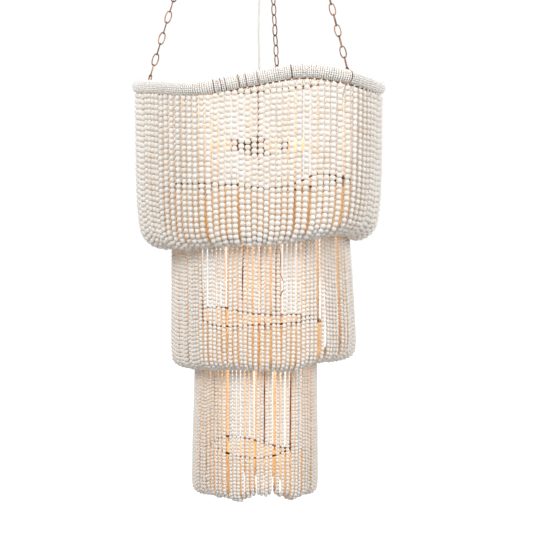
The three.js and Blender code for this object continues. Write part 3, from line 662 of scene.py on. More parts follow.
def strand_path(number, start, end, hem, flare, sway):
    """A strand's middle line: down from its ring, inward round the hem and up to the inner ring.
    sway is how far the strand has moved aside when it gets to the hem."""
    corner, lean, lean_height = TURNS[number]
    inward = (end - start) * (1, 1, 0)
    depth = np.linalg.norm(inward)
    inward = inward / depth
    drop = start[2] - hem
    heights = [drop * (1 - share) for share in DROP_SHARES]
    heights = [height for height in heights if height > CLEAR_STEP * corner]
    heights += [step * corner for step in CORNER_STEPS]
    line = []
    for height in heights:
        share = 1 - height / drop
        round_share = 1 - math.sqrt(1 - max(0, 1 - height / corner)**2)
        inset = lean * math.exp(-height / lean_height) + (TURNED_SHARE - lean) * round_share
        flared = flare * min(1, FLARE_HASTE * share)
        step = inward * (inset * (depth + flared / TURNED_SHARE) - flared)
        line.append(start + step + (0, 0, height - drop) + sway * share**SWAY_POWER)
    foot = TIERS[number]["wide"] / 2
    low = end * (1, 1, 0) + (0, 0, hem) + sway
    for share, height in FOOT_STEPS:
        line.append(start * (1, 1, 0) + (0, 0, hem + height * foot) + inward * depth * share + sway)
    rise = end[2] - hem
    for share in RISE_SHARES:
        line.append(low + (0, 0, rise * share) - sway * share)
    return smoothed(np.array(line), 3)


def seen_hem(number, low):
    """The level at which the camera sees a strand's foot on its tier's hem line."""
    ahead, points = HEM_LINES[number]
    reach = (low[1] - CAMERA_PLACE[1]) / (-ahead - CAMERA_PLACE[1])
    across = CAMERA_PLACE[0] + (low[0] - CAMERA_PLACE[0]) / reach
    level = -np.interp(across, *np.transpose(points))
    return CAMERA_PLACE[2] + (level - CAMERA_PLACE[2]) * reach


def walked(path):
    """The distance along a path of each of its points."""
    return np.concatenate([[0], np.cumsum(np.linalg.norm(np.diff(path, axis=0), axis=1))])


def spread_out(places, length, least, rounds=60):
    """Places round a loop of a length, moved apart until no two are nearer than the least."""
    for _ in range(rounds):
        gaps = np.mod(np.roll(places, -1) - places, length)
        push = np.clip(least - gaps, 0, None) / 2
        places = places - push + np.roll(push, 1)
    return places


# How unevenly strands leave the ring and get to the hem, as shares of the room between them, and
# the nearest that two may come, as a share of a bead's width
UNEVEN = {"ring": 0.6, "hem": 0.35}
CLOSEST = 0.955
# The share of a bead's width that a strand takes, and how far a gap's push reaches, in strands
TAKEN = 0.97
PUSH_REACH = 1.2


def strand_places(number, rng):
    """Where each strand of a tier leaves its ring, and where it gets to at the hem."""
    tier = TIERS[number]
    line = LINES[number]
    spacing = line.length / tier["count"]
    even = (np.arange(tier["count"]) + 0.5) * spacing
    slack = spacing - TAKEN * tier["wide"]
    top = even + rng.uniform(-UNEVEN["ring"], UNEVEN["ring"], len(even)) * slack
    hem = top + rng.normal(0, UNEVEN["hem"], len(even)) * slack
    for across, at_ring, at_hem in sorted(GAPS[number], key=lambda gap: gap[1]):
        middle = line.front_at(across)
        away = np.mod(top - middle + line.length / 2, line.length) - line.length / 2
        slip = (away[away < 0].max() + away[away >= 0].min()) / 2
        near = np.exp(-np.clip(np.abs(away) - spacing, 0, None) / (PUSH_REACH * spacing))
        side = np.where(away >= 0, 1, -1) * near
        top = top - slip * near + side * at_ring
        hem = hem - slip * near + side * at_hem
    least = CLOSEST * tier["wide"]
    return spread_out(top, line.length, least), spread_out(hem, line.length, least)


def slice_of(line, cuts, distance):
    """The slice that a distance lies in, and its share of the way through it."""
    starts = [line.distance_at(cut) for cut in cuts]
    for place, start in enumerate(starts):
        length = np.mod(starts[(place + 1) % len(starts)] - start, line.length)
        walk = np.mod(distance - start, line.length)
        if walk < length:
            return place, walk / length
    return 0, 0.0


# The radius of the strands' threads
THREAD_RADIUS = 0.0006
# The pale knots that tie the first tier's strands over the hoop
KNOT = {"drop": 0.0027, "size": 0.0052}
# How far below each ring's middle line the strands begin
RING_HEADS = {1: 0.0145, 2: 0.0035, 3: 0.0035}
# How much lower the strands begin where the bare hoop shows, by tier and slice
LOW_HEADS = {(1, 3): 0.003, (1, 4): 0.003}
# How far beads and strands stray: a strand's wobble at so many places, the start of its first bead,
# its pitch and tone, then each bead's place along it, the bounds of its width and length, and its tone
STRAY = {"wobble": 0.00035, "places": 6, "start": 0.3, "pitch": 0.006, "tone": 0.35,
         "place": 0.012, "wide": (0.955, 1.02), "long": (0.96, 1.02), "gamma": (1.6, 0.13)}
# How much of the strand's end stays free, in lengths of a bead
FREE_END = 0.9
# Every other strand ends this share of a bead's width farther out from the inner ring
STAGGER = 0.45
# The share of the camera's hem line that a strand follows falls off with its distance behind the front
FRONT = {"share": 0.8, "depth": 0.08}
# Half of the run over which a strand's direction is measured
REACH = 0.004
# What the random draws start from, here with the tier's number added
BEAD_SEED = 100


def make_tier(number):
    """A tier's beads and threads, in the slices of the CAD part."""
    rng = np.random.default_rng(BEAD_SEED + number)
    tier = TIERS[number]
    outer = LINES[number]
    inner = LINES[number + 1]
    cuts = CUTS[number]
    beads = [Form() for _ in cuts]
    rising = Form()
    threads = Form()
    knots = Form()
    head = RING_HEADS[number]
    tops, hems = strand_places(number, rng)
    for index, (top, hem_place) in enumerate(zip(tops, hems)):
        place, share = slice_of(outer, cuts, top)
        inner_start = inner.distance_at(cuts[place])
        inner_end = inner.distance_at(cuts[(place + 1) % len(cuts)])
        inner_place = inner_start + share * np.mod(inner_end - inner_start, inner.length)
        x, y, z, wave, flare = outer.at(top)
        start = np.array((x, y, z - head)) + outer.outward(top) * tier["outset"]
        stagger = (index % 2) * STAGGER * tier["wide"]
        end = inner.point(inner_place) + inner.outward(inner_place) * (tier["stand_off"] + stagger)
        end[2] -= inner.wire
        hem = wave * tier["wave"] - tier["hem"]
        low = start + (end - start) * FOOT_SHARE
        in_front = min(1, max(0, FRONT["share"] - low[1] / FRONT["depth"]))
        hem += in_front * (seen_hem(number, low) + tier["wide"] / 2 - hem)
        hem += rng.normal(0, tier["loose"])
        sway = (outer.point(hem_place) - outer.point(top)) * (1, 1, 0)
        path = strand_path(number, start, end, hem, flare * tier["flare"], sway)
        wobble = rng.normal(0, STRAY["wobble"], (STRAY["places"], 3)) * (1, 1, 0)
        reach = walked(path)
        places = np.linspace(0, reach[-1], STRAY["places"])
        path = path + read_off(reach, places, wobble)
        length = reach[-1]
        first = tier["long"] * (0.5 + rng.uniform(0, STRAY["start"])) + LOW_HEADS.get((number, place), 0)
        pitch = tier["pitch"] * (1 + rng.normal(0, STRAY["pitch"]))
        distances = np.arange(first, length - FREE_END * tier["long"], pitch)
        distances = distances + rng.normal(0, STRAY["place"], len(distances)) * tier["long"]
        centres, ahead, behind = (read_off(distances + step, reach, path) for step in (0, REACH, -REACH))
        along = unit(ahead - behind + (0, 0, 1e-7))
        turns = frames_along(along, rng.uniform(0, TURN, len(centres)))
        wide = tier["wide"] * rng.uniform(*STRAY["wide"], len(centres))
        long = tier["long"] * rng.uniform(*STRAY["long"], len(centres))
        turns = turns * np.stack([wide, wide, long], axis=-1)[:, None, :]
        strand_tone = rng.uniform(0, STRAY["tone"])
        tones = np.clip(strand_tone + rng.gamma(*STRAY["gamma"], len(centres)), 0, 1)
        # Past the lowest bead and two more, the strand rises inside
        bottom = reach[np.argmin(path[:, 2])] + 2 * tier["pitch"]
        seen = distances < bottom
        beads[place].add_copies(*FULL_BEAD, centres[seen], turns[seen], tones[seen])
        rising.add_copies(*PLAIN_BEAD, centres[~seen], turns[~seen], tones[~seen])
        cord = path[::3] if len(path) % 3 == 1 else np.concatenate([path[::3], path[-1:]])
        threads.add(*tube(cord, THREAD_RADIUS, 4))
        if number == 1:
            knot = start - (0, 0, KNOT["drop"])
            knots.add(SEED_BEAD[0] * KNOT["size"] + knot, SEED_BEAD[1], 0.3)
    for place, form in enumerate(beads):
        form.make(f"tier_{number}_beads_{place + 1}", BEADS, "bead_wood",
                  [f"tier_{number}_strands_{place + 1}"])
    # The beads that rise inside get the copy of the finish with painted lamplight
    rising.make(f"tier_{number}_rising_beads", PAINTED_LAMPLIT_BEADS, "bead_wood")
    if number == 1:
        knots.make("tier_1_knots", SEED_BEADS, "bead_wood")
    threads.make(f"tier_{number}_threads", THREAD, "bead_wood")


def cross_section(line, distance):
    """The middle line's point, its direction and the two directions across it, outward and up."""
    point = line.point(distance)
    along = unit(line.point(distance + RUN["along"]) - line.point(distance - RUN["along"]))
    outward = line.outward(distance)
    return point, along, outward, np.cross(outward, along)


# The wrapping: radius of a turn, room for it, size and number of its beads, how far over them a tie
# lies as a share of a bead, and radius of the core
WRAP = {"radius": 0.0134, "turn": 0.0049, "bead": 0.0049, "round": 18, "over": 0.35, "core": 0.0128}
# Dark ties that show between the turns of beads in front, by their place across and thickness, and
# over how long a run they push the turns aside
WRAP_TIES = [(-0.1, 0.0006), (-0.092, 0.0005), (-0.084, 0.0006), (-0.076, 0.0005), (-0.0445, 0.0009),
             (-0.03, 0.0005), (-0.0015, 0.0007), (0.0725, 0.0008), (0.2, 0.0008)]
TIE_PUSH = 0.012
# The bare stretch of hoop that shows below the wrapping: bearings of its ends, drop, outset, wire
HOOP = {"from": 250, "to": 520, "drop": 0.0172, "outset": 0.0005, "wire": 0.0016}
# How finely the rings' lines are followed, and how the wrapping's strings and beads stray
RING_STEP = 0.006
WRAP_STRAY = {"turn": 0.00012, "lean": 0.0003, "radius": 0.00018, "phase": 0.03, "place": 0.00012,
              "size": (0.94, 1.03), "gamma": (1.5, 0.16)}
# The length of the wrapping's beads as a share of their width
FLAT = 0.94
WRAP_SEED = 31


def make_ring_wrap():
    """Strings of small beads wound round the top ring over a pale core, dark ties and a bare hoop."""
    rng = np.random.default_rng(WRAP_SEED)
    line = LINES[1]
    places = np.arange(0, line.length - WRAP["turn"] / 2, WRAP["turn"])
    places = places * (line.length / (places[-1] + WRAP["turn"]))
    places = places + rng.normal(0, WRAP_STRAY["turn"], len(places))
    for across, thickness in WRAP_TIES:
        away = places - line.front_at(across)
        places = places + np.where(away >= 0, 0.5, -0.5) * thickness * np.exp(-np.abs(away) / TIE_PUSH)
    starts = [line.distance_at(cut) for cut in CUTS[1]]
    forms = [Form() for _ in CUTS[1]]
    angle = TURN * (np.arange(WRAP["round"]) + 0.5) / WRAP["round"]
    for distance in places:
        point, along, outward, upward = cross_section(line, distance)
        lean = rng.normal(0, WRAP_STRAY["lean"])
        radius = WRAP["radius"] + rng.normal(0, WRAP_STRAY["radius"])
        phase = angle + rng.normal(0, WRAP_STRAY["phase"])
        centres = point + radius * spokes(phase, outward, upward)
        centres += along * (lean * np.sin(phase))[:, None]
        centres += rng.normal(0, WRAP_STRAY["place"], centres.shape)
        turns = frames_along(unit(spokes(phase, upward, -outward)), rng.uniform(0, TURN, len(phase)))
        size = WRAP["bead"] * rng.uniform(*WRAP_STRAY["size"], len(phase))
        turns = turns * np.stack([size, size, FLAT * size], axis=-1)[:, None, :]
        tones = np.clip(rng.gamma(*WRAP_STRAY["gamma"], len(phase)), 0, 1)
        place = int(np.argmin([np.mod(distance - start, line.length) for start in starts]))
        forms[place].add_copies(*SEED_BEAD, centres, turns, tones)
    for place, form in enumerate(forms):
        form.make(f"ring_wrap_{place + 1}", SEED_BEADS, "bead_wood")
    steps = np.arange(0, line.length, 2 * RING_STEP)
    core = Form(tube(line.point(steps), WRAP["core"], 20, closed=True))
    core.make("ring_wrap_core", PALE_THREAD, "bead_wood")
    ties = Form()
    for across, thickness in WRAP_TIES:
        point, along, outward, upward = cross_section(line, line.front_at(across))
        loop = point + (WRAP["radius"] + WRAP["over"] * WRAP["bead"]) * spokes(angle, outward, upward)
        ties.add(*tube(loop, thickness, 6, closed=True))
    ties.make("ring_wrap_ties", DARK_THREAD, "bead_wood")
    start = line.distance_at(HOOP["from"])
    length = np.mod(line.distance_at(HOOP["to"]) - start, line.length)
    steps = start + np.arange(0, length, RING_STEP)
    path = line.point(steps) + HOOP["outset"] * line.outward(steps) - (0, 0, HOOP["drop"])
    Form(tube(path, HOOP["wire"], 8)).make("ring_1_hoop", BRONZE, "bronze")


# The windings of the lower rings: their thread lies this share of its radius over the wire, with so
# many points a turn. end is the radius of the loose end.
WINDING = {"pitch": 0.0021, "thread": 0.0005, "over": 0.8, "points": 7, "end": 0.0008}
# The loose end of the second ring's winding, which hangs inside the middle tier
LOOSE_END = [(0.055, -0.155, -1.176), (0.054, -0.146, -1.21), (0.048, -0.139, -1.26),
             (0.045, -0.137, -1.305), (0.052, -0.138, -1.345), (0.046, -0.138, -1.372),
             (0.055, -0.139, -1.39), (0.058, -0.139, -1.412), (0.046, -0.139, -1.435)]
# The bent wire of an eye, and how high its head stands
EYE = {"wire": 0.0016, "half_width": 0.004, "rise": 0.0265}
# The eyes on the top ring: bearing, direction of the hole, whether the chain has an odd number of
# links, where it starts round the gathering ring, how its links are turned, and how far the head of
# the eye leans across and sinks
EYES = {
    "left": {"bearing": 203, "hole": (0.7, 0.71, 0), "odd": 1, "turn": -20, "twist": 8,
             "lean": 0.0055, "sink": 0},
    "right": {"bearing": 316, "hole": (-0.7, 0.71, 0), "odd": 1, "turn": 20, "twist": -14,
              "lean": -0.0055, "sink": 0.005},
    "back": {"bearing": 76.5, "hole": (1, 0, 0), "odd": 0, "turn": 0, "twist": 40,
             "lean": -0.006, "sink": 0},
}


def make_rings():
    """The four rings' wires, the eyes of the top one and the thread wound round the lower ones."""
    for number, line in LINES.items():
        steps = np.arange(0, line.length, RING_STEP)
        form = Form(tube(line.point(steps), line.wire, 12, closed=True))
        node = {1: "ring_1_top", 4: "ring_4_bottom"}.get(number, f"ring_{number}")
        if number == 1:
            for name in EYES:
                form.add(*tube(eye_path(name), EYE["wire"], 10, closed=True))
        form.make(f"{node}_wire", BRONZE, "bronze", [node])
    for number in (2, 3, 4):
        line = LINES[number]
        turns = int(line.length / WINDING["pitch"])
        distances = np.linspace(0, line.length, WINDING["points"] * turns, endpoint=False)
        points = line.point(distances)
        outward = line.outward(distances)
        phase = TURN * turns * distances / line.length
        radius = line.wire + WINDING["thread"] * WINDING["over"]
        path = points + radius * spokes(phase, outward, (0, 0, 1))
        winding = Form(tube(path, WINDING["thread"], 4, closed=True))
        winding.make(f"ring_{number}_winding", DARK_THREAD, "bronze")
    loose_end = Form(tube(smoothed(np.array(LOOSE_END), 3), WINDING["end"], 6))
    loose_end.make("ring_2_winding_end", DARK_THREAD, "bronze")


def eye_head(eye):
    """Where the head of an eye is, from the ring's middle line."""
    return np.array((eye["lean"], 0, EYE["rise"] - eye["sink"]))


def eye_path(name):
    """The closed loop of an eye: two legs out of the ring and a round head."""
    eye = EYES[name]
    seat = LINES[1].at_bearing(eye["bearing"])
    side = np.array((eye["hole"][1], -eye["hole"][0], 0))
    top = eye_head(eye)
    head = top[2] - EYE["half_width"]
    angle = np.linspace(0, math.pi, 12)
    arc = [(EYE["half_width"] * math.cos(a), head + EYE["half_width"] * math.sin(a)) for a in angle]
    outline = [(EYE["half_width"], 0), (EYE["half_width"], head / 2), *arc,
               (-EYE["half_width"], head / 2), (-EYE["half_width"], 0)]
    lean = eye["lean"] / top[2]
    return np.array([seat + side * across + (lean * height, 0, height) for across, height in outline])


# The chains' links, how far they bite into one another, and the points and fullness of their oval
LINK = {"pitch": 0.0262, "half_width": 0.0066, "wire": 0.0014, "bite": 0.0003, "points": 28,
        "power": 0.85}


def link_outline(half_length):
    """A link's middle line in its own plane: an oval a little fuller than an ellipse."""
    angle = TURN * np.arange(LINK["points"]) / LINK["points"]
    across = LINK["half_width"] * np.sign(np.cos(angle)) * np.abs(np.cos(angle))**LINK["power"]
    return np.stack([across, half_length * np.sin(angle)], axis=-1)


def make_chains():
    """Three chains of oval links from the gathering ring down to the eyes."""
    low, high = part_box("gathering_ring")
    ring_wire = (high[1] - low[1]) / 2
    centre = np.add(low, high) / 2
    radius = (high[2] - low[2]) / 2 - ring_wire
    for name, eye in EYES.items():
        swing = math.radians(eye["turn"])
        start = centre + (radius * math.sin(swing), 0, -radius * math.cos(swing))
        end = LINES[1].at_bearing(eye["bearing"]) + eye_head(eye)
        along = unit(end - start)
        bearing = ring_wire + ROOM + LINK["wire"]
        run = np.linalg.norm(end - start) + bearing + EYE["wire"] + ROOM + LINK["wire"]
        count = 2 * round((run / LINK["pitch"] - eye["odd"]) / 2) + eye["odd"]
        overlap = 2 * LINK["wire"] - LINK["bite"]
        half_length = (run + (count - 1) * overlap) / (2 * count)
        outline = link_outline(half_length)
        form = Form()
        for place in range(count):
            middle = start + along * (half_length - bearing + place * (2 * half_length - overlap))
            twist = math.radians(eye["twist"]) + (place % 2) * math.pi / 2
            facing = np.array((math.cos(twist), math.sin(twist), 0))
            facing = unit(facing - along * facing.dot(along))
            across = np.cross(along, facing)
            path = middle + outline[:, :1] * across + outline[:, 1:] * along
            form.add(*tube(path, LINK["wire"], 8, closed=True))
        form.make(f"{name}_chain_links", BRONZE, "bronze", [f"chain_{name}"])


def round_bar(start, end, radius, sides=14, ends=0.0006):
    """A straight round bar with softened ends."""
    start, end = np.asarray(start, float), np.asarray(end, float)
    along = unit(end - start)
    path = [start, start + along * ends, end - along * ends, end]
    return tube(path, [radius - ends, radius, radius, radius - ends], sides)


# Radii of the rods, of the two pale ones at the sides of the first tier, of arms and stem, and how
# near its end a rod's mesh is read
ROD = 0.0018
FAINT_ROD = 0.0012
ARM = 0.0024
STEM = 0.003
END_ZONE = 0.004
# The nuts at the rods' feet, and how much larger two of them are
NUT = {"radius": 0.0042, "height": 0.006, "rise": 0.002, "large": 1.7}


def rod_ends(node):
    """The two ends of a straight CAD rod, from the points of its mesh nearest each end."""
    mesh = frame["nodes"][node].data
    points = np.array([vertex.co for vertex in mesh.vertices])
    low = points[points[:, 2] < points[:, 2].min() + END_ZONE].mean(axis=0)
    high = points[points[:, 2] > points[:, 2].max() - END_ZONE].mean(axis=0)
    return high, low


def make_frame_rods():
    """Slim round rods, each with a small nut at its lower end."""
    names = [f"{level}_rod_{side}" for level in ("upper", "middle", "lower")
             for side in ("back", "left", "right")]
    for node in names + ["hanger_rod_front", "hanger_rod_back"]:
        high, low = rod_ends(node)
        faint = node in ("upper_rod_left", "upper_rod_right")
        form = Form(round_bar(high, low, FAINT_ROD if faint else ROD))
        along = unit(high - low)
        points, faces = nut_form()
        scale = NUT["large"] if node in ("middle_rod_right", "lower_rod_right") else 1
        form.add(turned_to(points * scale, along, low + along * NUT["rise"]), faces)
        form.make(f"{node}_bar", PALE_STEEL if faint else BRONZE, "bronze", [node])


def nut_form():
    """A small six-sided nut with bevelled corners, from its foot up."""
    radius, height = NUT["radius"], NUT["height"]
    return lathe([(0, 0), (0.8 * radius, 0), (radius, 0.15 * height), (radius, 0.85 * height),
                  (0.8 * radius, height), (0, height)], 6)


def make_spider():
    """The spider's round block, its three arms and the stem with its collar."""
    low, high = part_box("spider_block")
    half = (high[0] - low[0]) / 2
    profile = [(0, low[2]), (0.6 * half, low[2]), (0.78 * half, low[2] + 0.001), (half, low[2] + 0.003),
               (half, high[2] - 0.001), (half - 0.001, high[2]), (0, high[2])]
    Form(lathe(profile, 32)).make("spider_block_boss", BRONZE, "bronze", ["spider_block"])
    for side, bearing in (("back", 92), ("left", 194.5), ("right", 322)):
        end = LINES[1].at_bearing(bearing)
        flat = unit(end * (1, 1, 0))
        start = flat * (half + ROOM) + (0, 0, (low[2] + high[2]) / 2)
        form = Form(round_bar(start, end - unit(end - start) * RINGS[1]["wire"], ARM))
        form.make(f"spider_arm_{side}_bar", BRONZE, "bronze", [f"spider_arm_{side}"])
    top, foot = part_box("stem")[1][2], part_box("stem")[0][2]
    collar = [(STEM, foot + 0.0005), (0.0075, foot + 0.0005), (0.0082, foot + 0.002),
              (0.0075, foot + 0.005), (0.005, foot + 0.008), (STEM, foot + 0.009)]
    form = Form(round_bar((0, 0, top), (0, 0, foot), STEM, 20), lathe([*collar, collar[0]], 28))
    form.make("stem_tube", BRONZE, "bronze", ["stem"])


# The beads round the drum's edges: their size, number and height from foot and top
HUB = {"bead": 0.0016, "count": 48, "rise": 0.013}


def make_hub():
    """The drum that carries the sockets, with a row of beads at each edge and a stepped foot."""
    low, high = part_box("light_hub")
    radius = high[0] - 0.0002
    foot, top = low[2], high[2]
    bead_size = HUB["bead"]
    profile = [(0, foot), (0.008, foot), (0.010, foot + 0.0025), (0.022, foot + 0.003),
               *steps_from(radius, foot, (4, 4), (1.5, 5.5), (0, 8), (1, 10), (1, 12)),
               *steps_from(radius, top, (1.2, -12), (1, -10), (0, -8), (1, -6), (4, -4)),
               (0.020, top - 0.001), (0.012, top), (0, top)]
    form = Form(lathe(profile, 64))
    count = HUB["count"]
    ring = circle((0, 0, 0), radius - bead_size / 2, (1, 0, 0), (0, 1, 0), count)
    turns = np.repeat(np.eye(3)[None] * bead_size, count, axis=0)
    for height in (foot + HUB["rise"], top - HUB["rise"]):
        form.add_copies(*FULL_BEAD, ring + (0, 0, height), turns, np.full(count, 0.5))
    form.make("light_hub_drum", DARK_BRONZE, "dark_bronze", ["light_hub"])


# How far below the ceiling the sockets are, and each bulb's power and colour
SOCKET_DROP = 1.081
BULB_LIGHT = {"power": 0.14, "colour": (1.0, 0.70, 0.44), "size": 0.012}
# A socket's radii, and how far its neck, mouth and floor are from the axis, then a bulb's sizes
SOCKET = {"radius": 0.0155, "reach": 0.069, "neck": 0.034, "bore": 0.0082, "floor": 0.045}
BULB = {"base": 0.007, "glass": 0.0175, "length": 0.065}


def make_lamps():
    """Four sockets and bulbs, modelled along +Z from the axis and turned out."""
    outer, bore = SOCKET["radius"], SOCKET["bore"]
    neck, reach, floor = SOCKET["neck"], SOCKET["reach"], SOCKET["floor"]
    cup = [(0, neck),
           *steps_from(outer, neck, (4, 0), (3.5, 6), (1.5, 8), (1.5, 9.5), (3, 11), (1, 12.5)),
           *steps_from(outer, reach, (1, -6), (0, -4.5), (0, -1), (1, 0)),
           *steps_from(bore, reach, (-0.8, 0), (0, -0.8)), (bore, floor), (0, floor)]
    base = [(0, floor + ROOM), (0.004, floor + ROOM), (BULB["base"], floor + 0.004)]
    thread_top = reach - 0.002
    turns = 6
    for step in range(turns):
        height = floor + 0.004 + (thread_top - floor - 0.004) * (step + 0.5) / turns
        base.append((BULB["base"] - 0.0007, height - 0.0008))
        base.append((BULB["base"], height))
    base += [(BULB["base"] - 0.0007, thread_top), (BULB["base"] + 0.0004, thread_top + 0.0006),
             (BULB["base"] + 0.0004, reach), (0, reach)]
    seat = reach + 0.0002
    length = BULB["length"] - 0.0002
    shares = [(0.42, 0.0), (0.5, 0.03), (0.66, 0.08), (0.84, 0.16), (0.96, 0.26), (1.0, 0.36),
              (0.98, 0.46), (0.9, 0.58), (0.76, 0.7), (0.57, 0.81), (0.36, 0.9), (0.18, 0.96),
              (0.06, 0.993), (0, 1)]
    envelope = [(0, seat)] + [(across * BULB["glass"], seat + up * length) for across, up in shares]
    joints = {joint["child"]: np.array(joint["axis"]) for joint in frame["joints"]}
    place = (0, 0, -SOCKET_DROP)
    for number in range(1, 5):
        body = f"bulb_{number}_body"
        axis = unit(joints[body])
        for profile, sides, name, material, slot, nodes, rider in (
            (cup, 40, f"socket_{number}_cup", DARK_BRONZE, "dark_bronze", [f"socket_{number}"],
             "chandelier"),
            (base, 32, f"bulb_{number}_screw", BRONZE, "bulb_glass", [], body),
            (envelope, 36, f"bulb_{number}_glass", GLASS, "bulb_glass", [f"bulb_{number}"], body),
        ):
            points, faces = lathe(profile, sides)
            piece = Form((turned_to(points, axis, place), faces)).make(name, material, slot, nodes, rider)
            if material is GLASS:
                piece.visible_shadow = False
        middle = axis * (reach + 0.4 * BULB["length"]) + place
        source = make_light(f"bulb_{number}_light", "POINT", middle, **BULB_LIGHT)
        source.parent = frame["bodies"][body]


# Radius of the canopy's hole, thickness of its wall, and the wire of the loop under it
CANOPY = {"hole": 0.0053, "wall": 0.0014, "loop": 0.003}


def make_ceiling_parts():
    """The canopy and what hangs under it, each a smooth turned or bent form."""
    low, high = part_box("canopy")
    radius, depth = high[0], -low[2]
    hole, wall, wire = CANOPY["hole"], CANOPY["wall"], CANOPY["loop"]
    shares = [(1.0, 0), (0.995, 0.10), (0.985, 0.24), (0.965, 0.38), (0.93, 0.53), (0.87, 0.67),
              (0.78, 0.79), (0.66, 0.89), (0.5, 0.965), (0.36, 0.99), (0.25, 1.0)]
    outside = [(r * radius, -z * depth) for r, z in shares]
    inside = [(r * (radius - wall), -z * (depth - wall)) for r, z in shares]
    outline = [(hole, -depth), *reversed(outside), *inside, (hole, wall - depth)]
    form = Form(lathe([*outline, outline[0]], 96))
    form.make("canopy_cup", BRONZE, "bronze", ["canopy"], "ceiling")

    low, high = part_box("canopy_collar")
    outer = high[0]
    steps = [(hole, low[2]),
             *steps_from(outer, low[2], (3, 0), (1.5, 1), (0.8, 2.5), (2, 3.5), (0, 5)),
             *steps_from(outer, high[2], (0, -1), (1, 0)), (hole, high[2])]
    form = Form(lathe([*steps, steps[0]], 48))
    form.make("canopy_collar_nut", BRONZE, "bronze", ["canopy_collar"], "ceiling")

    low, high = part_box("canopy_loop")
    loop_radius = (high[1] - low[1]) / 2 - wire
    centre = (0, 0, low[2] + wire + loop_radius)
    shank_foot = centre[2] + loop_radius
    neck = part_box("canopy_collar")[0][2]
    shank = [(0, shank_foot), (0.0035, shank_foot), (0.0046, shank_foot + 0.002), (0.005, neck),
             (0.005, high[2]), (0, high[2])]
    form = Form(tube(circle(centre, loop_radius, (0, 1, 0)), wire, 16, closed=True), lathe(shank, 28))
    form.make("canopy_loop_bent", BRONZE, "bronze", ["canopy_loop"], "ceiling")

    low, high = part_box("gathering_ring")
    wire = (high[1] - low[1]) / 2
    centre = np.add(low, high) / 2
    loop = circle(centre, (high[2] - low[2]) / 2 - wire, (1, 0, 0))
    form = Form(tube(loop, wire, 16, closed=True))
    form.make("gathering_ring_bent", BRONZE, "bronze", ["gathering_ring"], "gathering")

    low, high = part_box("cord_grommet")
    middle = np.add(low, high) / 2
    outer = (high[0] - low[0]) / 2
    bore = CORD_DIAMETER / 2 + ROOM
    half = (high[2] - low[2]) / 2
    lip = [(bore, -half), *steps_from(outer, -half, (1.2, 0), (0, 1.2), (0, 3), (0.8, 3.8)),
           *steps_from(outer, half, (0.8, -3.8), (0, -3), (0, -1.2), (1.2, 0)), (bore, half)]
    points, faces = lathe([*lip, lip[0]], 32)
    form = Form((points + middle, faces))
    form.make("cord_grommet_lip", RUBBER, "grommet_rubber", ["cord_grommet"], "ceiling")


def make_cords():
    """The two stretches of the power cord."""
    for name, route, bodies in (
        ("power_cord_upper", UPPER_CORD_ROUTE, ("ceiling", "gathering")),
        ("power_cord_lower", LOWER_CORD_ROUTE, ("chandelier",)),
    ):
        route = np.array(route)
        fine = np.concatenate([np.linspace(a, b, 4, endpoint=False) for a, b in zip(route, route[1:])])
        fine = np.concatenate([fine, route[-1:]])
        form = Form(tube(fine, CORD_DIAMETER / 2, 14))
        blended = len(bodies) == 2
        piece = form.make(f"{name}_jacket", JACKET, "cord_jacket", [name], None if blended else bodies[0])
        if blended:
            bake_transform(piece)


def make_light(name, kind, place, power, colour, size):
    """A soft lamp, whose size is a square's width or a point's radius."""
    lamp = bpy.data.lights.new(name, kind)
    lamp.energy = power
    lamp.color = colour
    if kind == "AREA":
        lamp.size = size
    else:
        lamp.shadow_soft_size = size
    source = in_scene(name, lamp)
    source.location = place
    return source


def dress_strap():
    """The mounting strap keeps its CAD shape and gets its finish."""
    strap = frame["nodes"]["mounting_strap"]
    strap.data.materials.clear()
    strap.data.materials.append(DARK_BRONZE)


# The floor's drop below the ceiling, half its width, its grey, and the light that it seems to give
FLOOR = {"drop": 5.5, "reach": 40, "grey": 0.7, "seen": 0.85}
# The strength of the white surround as light
SURROUND = 0.45
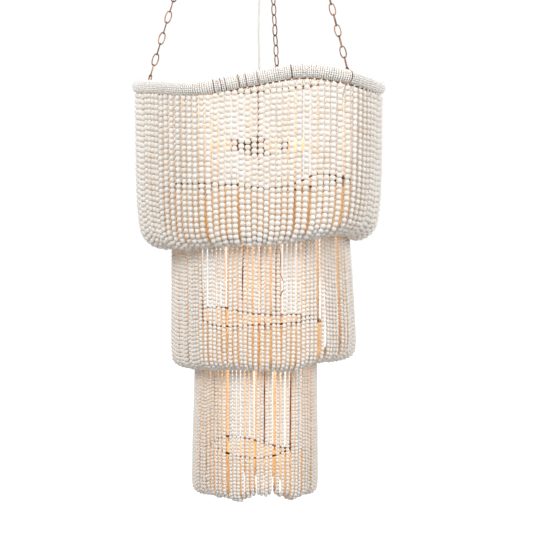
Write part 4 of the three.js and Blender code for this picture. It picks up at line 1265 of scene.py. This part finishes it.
# Square lamps: place, the point that each is turned to, width and power
STUDIO_LIGHTS = {
    "key_light": ((-1.8, -2.5, 1.0), (0, 0, -1.2), 1.8, 88),
    "fill_light": ((2.6, -1.8, 0), (0, 0, -1.2), 2.0, 60),
    "back_light": ((0.6, 2.8, 0.2), (0, 0, -1.3), 2.0, 32),
}
# Warm light that the bulbs throw down the inside: level and power of each, then what all share
GLOWS = [(-1.25, 0.24), (-1.42, 0.46), (-1.62, 0.36), (-1.8, 0.28)]
GLOW = {"colour": (1.0, 0.49, 0.13), "size": 0.03}


def make_stage():
    """A pale floor, soft lamps and a white surround."""
    grey = FLOOR["grey"]
    shade = Shade("pale_floor", Base_Color=(grey, grey, grey, 1), Roughness=0.9)
    shade.put("Emission Color", (1, 1, 1, 1))
    shade.put("Emission Strength", shade.seen(FLOOR["seen"]))
    mesh = bpy.data.meshes.new("floor")
    reach = FLOOR["reach"]
    corners = [(x * reach, y * reach, -FLOOR["drop"]) for x, y in ((-1, -1), (1, -1), (1, 1), (-1, 1))]
    mesh.from_pydata(corners, [], [(0, 1, 2, 3)])
    mesh.materials.append(shade.made)
    in_scene("floor", mesh)

    world = Shade("studio", "worlds", "Background", Color=(1, 1, 1, 1))
    strength = world.node("MapRange")
    strength.inputs["To Min"].default_value = SURROUND
    world.join(world.seen(1), strength.inputs["Value"])
    world.put("Strength", strength.outputs["Result"])
    bpy.context.scene.world = world.made

    for name, (place, aim, size, power) in STUDIO_LIGHTS.items():
        source = make_light(name, "AREA", place, power, (1, 1, 1), size)
        toward = np.array(aim) - np.array(place)
        yaw = math.atan2(toward[0], -toward[1])
        tilt = math.atan2(math.hypot(toward[0], toward[1]), -toward[2])
        source.rotation_euler = (tilt, 0, yaw + math.pi)
    for number, (level, power) in enumerate(GLOWS, 1):
        make_light(f"inner_glow_{number}", "POINT", (0, 0, level), power, **GLOW)


make_camera()
make_cords()
make_stage()
for tier_number in TIERS:
    make_tier(tier_number)
make_ring_wrap()
make_rings()
make_chains()
make_frame_rods()
make_spider()
make_hub()
make_lamps()
make_ceiling_parts()
dress_strap()

bpy.context.scene.view_settings.view_transform = "Standard"
